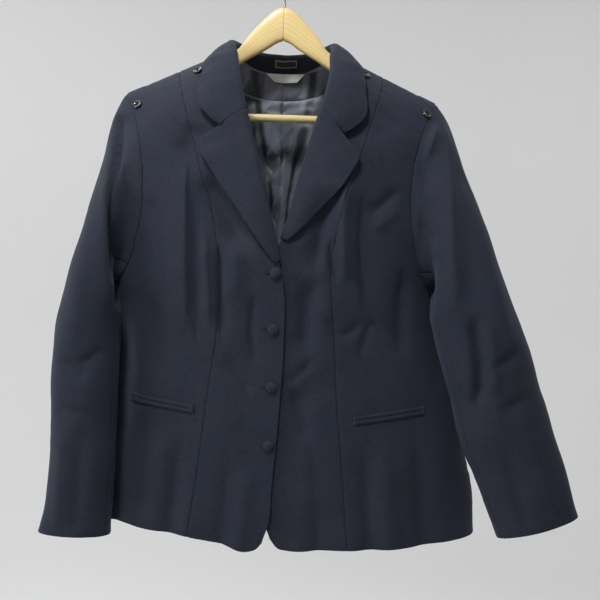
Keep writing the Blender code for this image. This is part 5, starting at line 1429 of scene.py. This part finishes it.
labels = {
    "wovenLabel": {
        "node": "woven_label", "foot": (-0.0125, 0.0195), "head": (-0.0125, 0.0195), "heights": (-0.1445, -0.1335),
        "y": (0.0414, 0.0385), "lean": 0.32, "sag": 0.0, "wall": 0.0006, "border": 0.0013, "inset": 0.0005,
    },
    "careLabel": {
        "node": "care_label", "foot": (-0.0120, 0.0200), "head": (-0.0240, 0.0310), "heights": (-0.1640, -0.1530),
        "y": (0.0421, 0.0408), "lean": 0.135, "sag": 0.0006, "wall": 0.0006, "border": 0.0, "inset": 0.0,
    },
}
labelGrids = {}
for name, label in labels.items():
    share = np.linspace(0, 1, 41)
    rowShare = np.linspace(0, 1, 15)[:, None]
    foot = label["foot"][0] + (label["foot"][1] - label["foot"][0]) * share
    head = label["head"][0] + (label["head"][1] - label["head"][0]) * share
    x = foot * (1 - rowShare) + head * rowShare
    sag = label["sag"] * np.sin(share * pi)
    z = label["heights"][0] * (1 - rowShare) + label["heights"][1] * rowShare - sag * (1 - rowShare)
    y = label["y"][0] * (1 - rowShare) + label["y"][1] * rowShare - label["lean"] * np.abs(x)
    y = y + 0.00015 * np.sin(x / 0.0042 + 2.0) * np.sin(rowShare * pi)
    grid = np.stack(np.broadcast_arrays(x, y, z), axis=-1)[::-1]
    tape = wovenLabel if label["border"] else whiteTape
    piece = shell(name, grid, label["wall"], inward, [tape], None, 0.0003)
    if label["border"]:
        piece.data.materials.append(labelBorder)
        inner, outer, top, foot = edgeDistances(grid)
        nearest = np.minimum(np.minimum(inner, outer), np.minimum(top, foot))
        band = (nearest > label["inset"]) & (nearest < label["inset"] + label["border"])
        look = np.zeros(len(piece.data.polygons), np.int32)
        count = (grid.shape[0] - 1) * (grid.shape[1] - 1)
        look[:count] = band[:-1, :-1].ravel()
        piece.data.polygons.foreach_set("material_index", look)
    declareSheet(piece, grid, [label["node"]])
    labelGrids[name] = grid
print("labels made")


buttons = {
    "frontSpots": [(0.0029, -0.4440), (0.0023, -0.5176), (0.0024, -0.5937), (0.0012, -0.6706)],
    "strapSpots": [(-0.1953, -0.2190), (-0.1146, -0.1695), (0.1140, -0.1675), (0.1995, -0.2185)],
    # distance from the axis and height above the cloth
    "covered": [(0.0, 0.0052), (0.0014, 0.00516), (0.0028, 0.00496), (0.0040, 0.00462), (0.0051, 0.0041),
                (0.0060, 0.0034), (0.0066, 0.0026), (0.0069, 0.0019), (0.00675, 0.0013), (0.0062, 0.0009),
                (0.0052, 0.0007), (0.0032, 0.0007), (0.0028, 0.0004), (0.0028, 0.0), (0.0, 0.0)],
    "resin": [(0.0, 0.0020), (0.0024, 0.00203), (0.0034, 0.00215), (0.0041, 0.0025), (0.0047, 0.00282),
              (0.0054, 0.00284), (0.0060, 0.0025), (0.0063, 0.0019), (0.0062, 0.0013), (0.0057, 0.0007),
              (0.0048, 0.0003), (0.0038, 0.0), (0.0, 0.0)],
    "sides": 48, "gap": 0.0004, "holeOut": 0.0014, "holeRadius": 0.00055,
    "gathersFrom": 0.0048, "gathersOver": 0.001, "gathersHeight": 0.00012, "gathers": 15,
}


def seatOf(spot, lift=None, pointOf=bodyPoint):
    x, height = spot
    girth = np.array([float(frontGirth(x, height))])
    normal = Vector(bodyNormal(girth, np.array([height]), pointOf)[0])
    away = buttons["gap"] if lift is None else lift
    place = Vector(drapedPoint(girth, np.array([height]), pointOf)[0]) + normal * away
    return Matrix.Translation(place) @ normal.to_track_quat("Z", "Y").to_matrix().to_4x4()


def lathed(name, profile, sides, material, place):
    # a closed turned piece with one point at each end of its axis
    profile = np.array(profile)
    angles = np.linspace(0, 2 * pi, sides, endpoint=False)
    points, faces = [(0, 0, profile[0, 1])], []
    for radius, height in profile[1:-1]:
        points += [(radius * cos(a), radius * sin(a), height) for a in angles]
    points.append((0, 0, profile[-1, 1]))
    rings = len(profile) - 2
    for k in range(sides):
        nxt = (k + 1) % sides
        faces.append((0, 1 + k, 1 + nxt))
        for r in range(rings - 1):
            low, high = 1 + r * sides, 1 + (r + 1) * sides
            faces.append((low + k, high + k, high + nxt, low + nxt))
        low = 1 + (rings - 1) * sides
        faces.append((low + k, len(points) - 1, low + nxt))
    mesh = bpy.data.meshes.new(name)
    mesh.from_pydata(points, [], faces)
    layer = mesh.uv_layers.new(name="grain")
    for loop in mesh.loops:
        x, y, _ = points[loop.vertex_index]
        layer.data[loop.index].uv = (x, y)
    mesh.transform(place)
    mesh.materials.append(material)
    mesh.shade_smooth()
    made = bpy.data.objects.new(name, mesh)
    scene.collection.objects.link(made)
    return made


for number, spot in enumerate(buttons["frontSpots"], 1):
    place = seatOf(spot)
    piece = lathed(f"coveredButton{number}", buttons["covered"], buttons["sides"], buttonCloth, place)
    axis = place.to_3x3().col[2]
    for vertex in piece.data.vertices:  # gathers of cloth near the rim
        local = place.inverted() @ vertex.co
        beyond = (local.x**2 + local.y**2) ** 0.5 - buttons["gathersFrom"]
        if beyond > 0:
            turn = np.arctan2(local.y, local.x)
            rise = buttons["gathersHeight"] * sin(turn * buttons["gathers"] + number)
            vertex.co += axis * rise * min(1.0, beyond / buttons["gathersOver"])
    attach(piece, "root")
    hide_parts(f"front_button_{number}")
for number, spot in enumerate(buttons["strapSpots"], 1):
    place = seatOf(spot)
    piece = lathed(f"strapButton{number}", buttons["resin"], buttons["sides"], blackResin, place)
    cutters = []
    for k in range(4):
        turn = pi / 4 + k * pi / 2 + 0.3 * number
        bpy.ops.mesh.primitive_cylinder_add(vertices=20, radius=buttons["holeRadius"], depth=0.012)
        cutter = bpy.context.object
        out = buttons["holeOut"]
        cutter.matrix_world = place @ Matrix.Translation((out * cos(turn), out * sin(turn), 0.001))
        cut = piece.modifiers.new("hole", "BOOLEAN")
        cut.operation, cut.solver, cut.object = "DIFFERENCE", "EXACT", cutter
        cutters.append(cutter)
    bpy.context.view_layer.update()
    cutMesh = bpy.data.meshes.new_from_object(piece.evaluated_get(bpy.context.evaluated_depsgraph_get()))
    piece.modifiers.clear()
    piece.data = cutMesh
    cutMesh.set_sharp_from_angle(angle=radians(50))
    for cutter in cutters:
        bpy.data.objects.remove(cutter)
    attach(piece, "root")
    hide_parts(f"strap_button_{number}")
print("buttons made")


hanger = {
    # out, top, bottom, half thickness
    "stations": [(0.000, -0.0700, -0.1163, 0.0070), (0.008, -0.0718, -0.1190, 0.0070),
                 (0.020, -0.0800, -0.1270, 0.0070), (0.035, -0.0955, -0.1360, 0.0070),
                 (0.050, -0.1130, -0.1450, 0.0070), (0.062, -0.1292, -0.1530, 0.0070),
                 (0.072, -0.1345, -0.1590, 0.0070), (0.110, -0.1516, -0.1805, 0.0070),
                 (0.140, -0.1656, -0.1990, 0.0070), (0.160, -0.1749, -0.2150, 0.0070),
                 (0.176, -0.1823, -0.2330, 0.0068), (0.190, -0.1888, -0.2360, 0.0062),
                 (0.197, -0.1975, -0.2300, 0.0045)],
    "ring": 40, "along": 90, "squareness": 0.62,
    "jointReach": 0.0012, "jointPinch": 0.045, "tipRound": (0.93, 0.72),
    "grainApart": 0.07, "grainAcross": 0.004,
    "barHeight": -0.2250, "barRadius": 0.0055, "barReach": 0.1740,
    "wireRadius": 0.0020, "hookRadius": 0.0220, "hookEnd": 210, "stemFoot": -0.0795,
}


def roundedSquare(sides, squareness):
    angles = 2 * pi * (np.arange(sides) + 0.5) / sides
    c, s = np.cos(angles), np.sin(angles)
    return angles, np.sign(c) * np.abs(c) ** squareness, np.sign(s) * np.abs(s) ** squareness


def closedTube(name, points, sides, uv, material):
    # rings of points, then the two end points, as one closed mesh with a grain map
    count = (len(points) - 2) // sides
    faces = []
    for r in range(count - 1):
        for k in range(sides):
            nxt = (k + 1) % sides
            faces.append((r * sides + k, r * sides + nxt, (r + 1) * sides + nxt, (r + 1) * sides + k))
    for k in range(sides):
        nxt = (k + 1) % sides
        faces.append((len(points) - 2, nxt, k))
        faces.append((len(points) - 1, (count - 1) * sides + k, (count - 1) * sides + nxt))
    corner = [points[np.array([f[k] for f in faces])] for k in range(3)]
    if np.einsum("ij,ij->i", corner[0], np.cross(corner[1], corner[2])).sum() < 0:
        faces = [f[::-1] for f in faces]
    mesh = bpy.data.meshes.new(name)
    mesh.from_pydata(points.tolist(), [], faces)
    corners = np.empty(len(mesh.loops), np.int32)
    mesh.loops.foreach_get("vertex_index", corners)
    mesh.uv_layers.new(name="grain").data.foreach_set("uv", uv[corners].ravel().astype(np.float32))
    mesh.materials.append(material)
    mesh.shade_smooth()
    made = bpy.data.objects.new(name, mesh)
    scene.collection.objects.link(made)
    return made


def sweep(name, path, radii, sides, material):
    # a round tube along points; radii gives (side, up) half sizes at each point
    path, radii = np.asarray(path, float), np.asarray(radii, float)
    tangent = unit(np.gradient(path, axis=0))
    start = np.array([0.0, 1.0, 0.0])
    sideways = unit(start - tangent * (tangent @ start)[:, None])
    upward = np.cross(tangent, sideways)
    angles, c, s = roundedSquare(sides, 1.0)
    rings = path[:, None] + radii[:, :1, None] * c[None, :, None] * sideways[:, None]
    rings = rings + radii[:, 1:, None] * s[None, :, None] * upward[:, None]
    points = np.concatenate([rings.reshape(-1, 3), path[:1], path[-1:]])
    lengths = np.concatenate([[0], np.cumsum(np.linalg.norm(np.diff(path, axis=0), axis=1))])
    girthOf = np.concatenate([np.tile(angles / (2 * pi), len(path)), [0, 0]])
    girthSize = np.concatenate([np.repeat(radii.sum(axis=1) * pi, sides), [0, 0]])
    alongOf = np.concatenate([np.repeat(lengths, sides), lengths[[0, -1]]])
    return closedTube(name, points, sides, np.stack([alongOf, girthOf * girthSize], axis=1), material)


def joinMeshes(name, parts):
    # several meshes as one object, in place
    bpy.ops.object.select_all(action="DESELECT")
    for part in parts:
        part.select_set(True)
    bpy.context.view_layer.objects.active = parts[0]
    bpy.ops.object.join()
    joined = bpy.context.view_layer.objects.active
    joined.name = joined.data.name = name
    return joined


outs, tops, bottoms, halves = np.array(hanger["stations"]).T
angles, c, s = roundedSquare(hanger["ring"], hanger["squareness"])
arms = []
for side in (-1, 1):
    between = np.linspace(0.0022, outs[-1] - 0.0006, hanger["along"])
    out = np.concatenate([[0.0001, 0.0004, 0.0010], between, [outs[-1] - 0.0002, outs[-1]]])
    top, bottom, half = (smoothCurve(outs, column, out) for column in (tops, bottoms, halves))
    shrink = 1 - hanger["jointPinch"] * ease((hanger["jointReach"] - out) / hanger["jointReach"])
    shrink[-2:] *= hanger["tipRound"]
    middle, halfHeight = (top + bottom) / 2, (top - bottom) / 2
    points = np.stack([
        np.broadcast_to(side * out[:, None], (len(out), len(c))),
        (half * shrink)[:, None] * c[None, :],
        middle[:, None] + (halfHeight * shrink)[:, None] * s[None, :],
    ], axis=-1)
    ends = [[side * out[0], 0, middle[0]], [side * out[-1], 0, middle[-1]]]
    points = np.concatenate([points.reshape(-1, 3), ends])
    lengths = np.concatenate([[0], np.cumsum(np.hypot(np.diff(out), np.diff(middle)))])
    apart = hanger["grainApart"] * side
    high = (s[None, :] * halfHeight[:, None] + apart).ravel()
    across = np.tile(c, len(out)) * hanger["grainAcross"]
    uv = np.stack([np.repeat(lengths, hanger["ring"]), high + across], axis=1)
    uv = np.concatenate([uv, [[0, apart], [lengths[-1], apart]]])
    arms.append(closedTube("arm", points, hanger["ring"], uv, palewood))
hangerArms = joinMeshes("hangerArms", arms)
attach(hangerArms, "root")
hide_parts("hanger_arms")

barPath = [(x, 0.0, hanger["barHeight"]) for x in np.linspace(-hanger["barReach"], hanger["barReach"], 60)]
bar = sweep("trouserBar", barPath, [(hanger["barRadius"],) * 2] * 60, 36, barWood)
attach(bar, "root")
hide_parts("trouser_bar")

wire = hanger["wireRadius"]
stem = [(0.0, hanger["stemFoot"]), (0.0, -0.0680), (0.0, -0.0560), (0.0035, -0.0480),
        (0.0115, -0.0395), (0.0190, -0.0312)]
turns = np.radians(np.arange(0, hanger["hookEnd"] + 1, 5))
centreHeight = wire - hanger["hookRadius"]
bend = [(hanger["hookRadius"] * cos(t), centreHeight + hanger["hookRadius"] * sin(t)) for t in turns]
coarse = np.array(stem + bend[::3])
steps = np.concatenate([[0], np.cumsum(np.linalg.norm(np.diff(coarse, axis=0), axis=1))])
fine = np.linspace(0, steps[-1], 150)
across, upward = (smoothCurve(steps, coarse[:, k], fine) for k in (0, 1))
hookPath = np.stack([across, np.zeros(150), upward], axis=1)
hookRadii = np.full((150, 2), wire)
hookRadii[-4:] *= np.array([0.96, 0.86, 0.66, 0.30])[:, None]
hookWire = sweep("hookWire", hookPath, hookRadii, 24, steelWire)
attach(hookWire, "root")
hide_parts("hook")
print("hanger made")


def makeStitchTree():
    tree = bpy.data.node_groups.new("stitchRow", "GeometryNodeTree")
    tree.interface.new_socket("Geometry", in_out="INPUT", socket_type="NodeSocketGeometry")
    for label, value in (("Stitch Length", 0.0022), ("Spacing", 0.0030), ("Thread Radius", 0.00016),
                         ("Turn", 0.0), ("Unevenness", 0.06)):
        socket = tree.interface.new_socket(label, in_out="INPUT", socket_type="NodeSocketFloat")
        socket.default_value = value
    socket = tree.interface.new_socket("Seed", in_out="INPUT", socket_type="NodeSocketInt")
    socket.default_value = 5
    socket = tree.interface.new_socket("Finish", in_out="INPUT", socket_type="NodeSocketMaterial")
    tree.interface.new_socket("Geometry", in_out="OUTPUT", socket_type="NodeSocketGeometry")
    given, out = tree.nodes.new("NodeGroupInput").outputs, tree.nodes.new("NodeGroupOutput").inputs
    curve = tree.nodes.new("GeometryNodeMeshToCurve")
    link(tree, given["Geometry"], curve.inputs[0])
    points = tree.nodes.new("GeometryNodeCurveToPoints")
    points.mode = "LENGTH"
    link(tree, curve.outputs[0], points.inputs["Curve"])
    link(tree, given["Spacing"], points.inputs["Length"])
    line = tree.nodes.new("GeometryNodeMeshUVSphere")
    line.inputs["Segments"].default_value = 8
    line.inputs["Rings"].default_value = 6
    line.inputs["Radius"].default_value = 1.0
    size = tree.nodes.new("ShaderNodeCombineXYZ")
    half = maths(tree, "MULTIPLY", given["Stitch Length"], 0.5)
    link(tree, given["Thread Radius"], size.inputs[0])
    link(tree, given["Thread Radius"], size.inputs[1])
    link(tree, half, size.inputs[2])
    shape = tree.nodes.new("GeometryNodeTransform")
    link(tree, line.outputs["Mesh"], shape.inputs["Geometry"])
    link(tree, size.outputs[0], shape.inputs["Scale"])
    random = tree.nodes.new("FunctionNodeRandomValue")
    random.data_type = "FLOAT"
    low = maths(tree, "MULTIPLY", given["Unevenness"], -1.0)
    floats = [socket for socket in random.inputs if socket.type == "VALUE" and socket.name in ("Min", "Max")]
    link(tree, low, floats[0])
    link(tree, given["Unevenness"], floats[1])
    link(tree, given["Seed"], random.inputs["Seed"])
    values = [socket for socket in random.outputs if socket.type == "VALUE"]
    wobble = maths(tree, "ADD", values[0], given["Turn"])
    spin = tree.nodes.new("ShaderNodeCombineXYZ")
    link(tree, wobble, spin.inputs[1])
    placed = tree.nodes.new("GeometryNodeInstanceOnPoints")
    link(tree, points.outputs["Points"], placed.inputs["Points"])
    link(tree, shape.outputs[0], placed.inputs["Instance"])
    link(tree, points.outputs["Rotation"], placed.inputs["Rotation"])
    turn = tree.nodes.new("GeometryNodeRotateInstances")
    link(tree, placed.outputs[0], turn.inputs["Instances"])
    link(tree, spin.outputs[0], turn.inputs["Rotation"])
    real = tree.nodes.new("GeometryNodeRealizeInstances")
    link(tree, turn.outputs[0], real.inputs[0])
    finish = tree.nodes.new("GeometryNodeSetMaterial")
    link(tree, real.outputs[0], finish.inputs["Geometry"])
    link(tree, given["Finish"], finish.inputs["Material"])
    link(tree, finish.outputs[0], out["Geometry"])
    return tree


stitchRow = makeStitchTree()


def stitched(name, paths, values, material):
    # rows of stitches along paths of points, turned into one plain mesh
    points, edges = [], []
    for path in paths:
        first = len(points)
        points += [tuple(p) for p in path]
        edges += [(first + k, first + k + 1) for k in range(len(path) - 1)]
    mesh = bpy.data.meshes.new(name)
    mesh.from_pydata(points, edges, [])
    maker = bpy.data.objects.new(name, mesh)
    scene.collection.objects.link(maker)
    modifier = maker.modifiers.new("stitches", "NODES")
    modifier.node_group = stitchRow
    sockets = {item.name: item.identifier for item in stitchRow.interface.items_tree if item.in_out == "INPUT"}
    for label, value in values.items():
        modifier[sockets[label]] = value
    modifier[sockets["Finish"]] = material
    bpy.context.view_layer.update()
    made = bpy.data.meshes.new_from_object(maker.evaluated_get(bpy.context.evaluated_depsgraph_get()))
    maker.modifiers.clear()
    maker.data = made
    made.name = name
    made.shade_smooth()
    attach(maker, "root")
    return maker


def onCloth(x, height, lift, pointOf=bodyPoint):
    girth = frontGirth(x, height)
    return drapedPoint(girth, height, pointOf) + lift * bodyNormal(girth, height, pointOf)


buttonholes = {"reach": 0.0150, "half": 0.000682, "drop": 0.0004, "lift": 0.00020, "spacing": 0.00032}
rows = []
for x, height in buttons["frontSpots"]:
    along = np.linspace(x + 0.001, x - buttonholes["reach"], 30)
    for offset in (-buttonholes["half"], buttonholes["half"]):
        lips = np.full(30, height + offset - buttonholes["drop"])
        rows.append(onCloth(along, lips, buttonholes["lift"]))
stitched("buttonholeThread", rows, {
    "Stitch Length": 0.0014, "Spacing": buttonholes["spacing"], "Thread Radius": 0.00017, "Turn": pi / 2,
}, navyThread)

# a close bar of thread across each end of the pockets
tacks = {"reach": 0.0050, "inset": 0.0006, "spacing": 0.00036, "length": 0.0013, "lift": 0.0021}
rows = []
for side in sideWords:
    for x, height in pockets["ends"][side]:
        inside = -np.sign(abs(x) - 0.14) * side * tacks["inset"]
        up = np.linspace(-tacks["reach"], tacks["reach"], 12)
        rows.append(onCloth(np.full(12, x + inside), height + up, tacks["lift"]))
stitched("pocketTacks", rows, {
    "Stitch Length": tacks["length"], "Spacing": tacks["spacing"], "Thread Radius": 0.00020, "Turn": pi / 2,
}, navyThread)

# two threads across each resin button, through its four holes
rows = []
for number, spot in enumerate(buttons["strapSpots"], 1):
    place = seatOf(spot)
    for offset in (-0.0010, 0.0010):
        turn = 0.3 * number
        middle = Vector((-offset * sin(turn), offset * cos(turn), 0.00225))
        ahead = Vector((cos(turn), sin(turn), 0)) * 0.0005
        rows.append([tuple(place @ middle), tuple(place @ (middle + ahead))])
stitched("buttonThread", rows, {
    "Stitch Length": 0.0030, "Spacing": 0.0030, "Thread Radius": 0.00030, "Unevenness": 0.0,
}, navyThread)

# rows of small stitches across the labels, close to their edges, and along the foot of the neck facing
labelSeam = {"inset": 0.0009, "lift": 0.00012, "length": 0.0016, "spacing": 0.0023}
rows = []
for grid in labelGrids.values():
    share = labelSeam["inset"] / 0.011
    row = int(round(share * (grid.shape[0] - 1))) or 1
    rows.append(grid[row, 1:-1] - (0, labelSeam["lift"], 0))
grid = labelGrids["wovenLabel"]
rows.append(grid[-2, 1:-1] - (0, labelSeam["lift"], 0))
stitched("labelStitches", rows, {
    "Stitch Length": labelSeam["length"], "Spacing": labelSeam["spacing"], "Thread Radius": 0.00013,
}, paleThread)
foot = facingGrid[-1 if facingGrid[-1, 0, 2] < facingGrid[0, 0, 2] else 0]
stitched("facingStitches", [foot - (0, 0.0006, -0.0012)], {
    "Stitch Length": 0.0026, "Spacing": 0.0046, "Thread Radius": 0.00016,
}, navyThread)
print("stitches made")


stage = {"floor": -1.60, "flatRadius": 2.6, "wallRadius": 4.6, "top": 3.2}
profile = [(0.0, stage["floor"]), (stage["flatRadius"], stage["floor"])]
for t in np.linspace(0, pi / 2, 16)[1:]:
    spread = stage["wallRadius"] - stage["flatRadius"]
    profile.append((stage["flatRadius"] + spread * sin(t), stage["floor"] + spread * (1 - cos(t))))
profile.append((stage["wallRadius"], stage["top"]))
sides = 96
points, faces = [(0, 0, profile[0][1])], []
for radius, height in profile[1:]:
    points += [(radius * cos(a), radius * sin(a), height) for a in np.linspace(0, 2 * pi, sides, endpoint=False)]
for k in range(sides):
    nxt = (k + 1) % sides
    faces.append((0, 1 + k, 1 + nxt))
    for r in range(len(profile) - 2):
        low, high = 1 + r * sides, 1 + (r + 1) * sides
        faces.append((low + k, high + k, high + nxt, low + nxt))
mesh = bpy.data.meshes.new("paleFloor")
mesh.from_pydata(points, [], faces)
mesh.shade_smooth()
floorPaint, tree, shader = startMaterial("palePaint", {"Roughness": 0.9, "Specular IOR Level": 0.1})
stain = noise(tree, objectPlace(tree), 0.7, 2.0)
link(tree, mixedColour(tree, stain, (0.70, 0.70, 0.705), (0.74, 0.74, 0.745)), shader.inputs["Base Color"])
mesh.materials.append(floorPaint)
floor = bpy.data.objects.new("paleFloor", mesh)
scene.collection.objects.link(floor)

lights = {
    # place, aim, size, watts, colour
    "keyPanel": ((-0.36, -0.92, 0.86), (0.0, 0.0, -0.42), 0.32, 16.4, (0.98, 0.99, 1.0)),
    "sidePanel": ((-2.0, -0.90, 0.00), (0.0, 0.0, -0.45), 0.80, 17.0, (0.98, 0.99, 1.0)),
    "fillPanel": ((-0.3, -2.6, 0.1), (0.02, 0.0, -0.40), 1.6, 2.6, (1.0, 0.95, 0.88)),
    "topPanel": ((0.2, 0.3, 2.3), (0.05, 0.0, -0.45), 1.6, 10.0, (1.0, 1.0, 1.0)),
    "backPanel": ((-0.6, 1.7, 1.9), (0.05, 0.0, -0.45), 1.0, 7.0, (1.0, 1.0, 1.0)),
    "wallLeft": ((-1.7, 0.9, 1.4), (-0.6, 4.6, -0.5), 2.0, 68.0, (1.0, 1.0, 1.0)),
    "wallRight": ((1.7, 0.9, 1.4), (0.8, 4.6, -0.5), 2.0, 31.0, (1.0, 1.0, 1.0)),
}
for name, (place, aim, size, watts, colour) in lights.items():
    lamp = bpy.data.lights.new(name, "AREA")
    lamp.shape, lamp.size, lamp.energy, lamp.color = "SQUARE", size, watts, colour
    holder = bpy.data.objects.new(name, lamp)
    holder.location = place
    holder.rotation_euler = (Vector(aim) - Vector(place)).to_track_quat("-Z", "Y").to_euler()
    scene.collection.objects.link(holder)
world = bpy.data.worlds.new("softSky")
scene.world = world
world.use_nodes = True
world.node_tree.nodes["Background"].inputs[0].default_value = (1.0, 0.99, 0.97, 1.0)
world.node_tree.nodes["Background"].inputs[1].default_value = 0.10
scene.view_settings.view_transform = "Standard"

view = {"place": (0.0357, -1.25, -0.4778), "lens": 53.57, "roll": 2.0}
lens = bpy.data.cameras.new("camera")
lens.lens, lens.sensor_width, lens.clip_end = view["lens"], 36.0, 40.0
camera = bpy.data.objects.new("camera", lens)
levelView = Matrix.Translation(view["place"]) @ Matrix.Rotation(radians(90), 4, "X")
camera.matrix_world = levelView @ Matrix.Rotation(radians(view["roll"]), 4, "Z")
scene.collection.objects.link(camera)
scene.camera = camera

for name, (flat, area) in cuts.items():
    print("cut", name, flat, area)
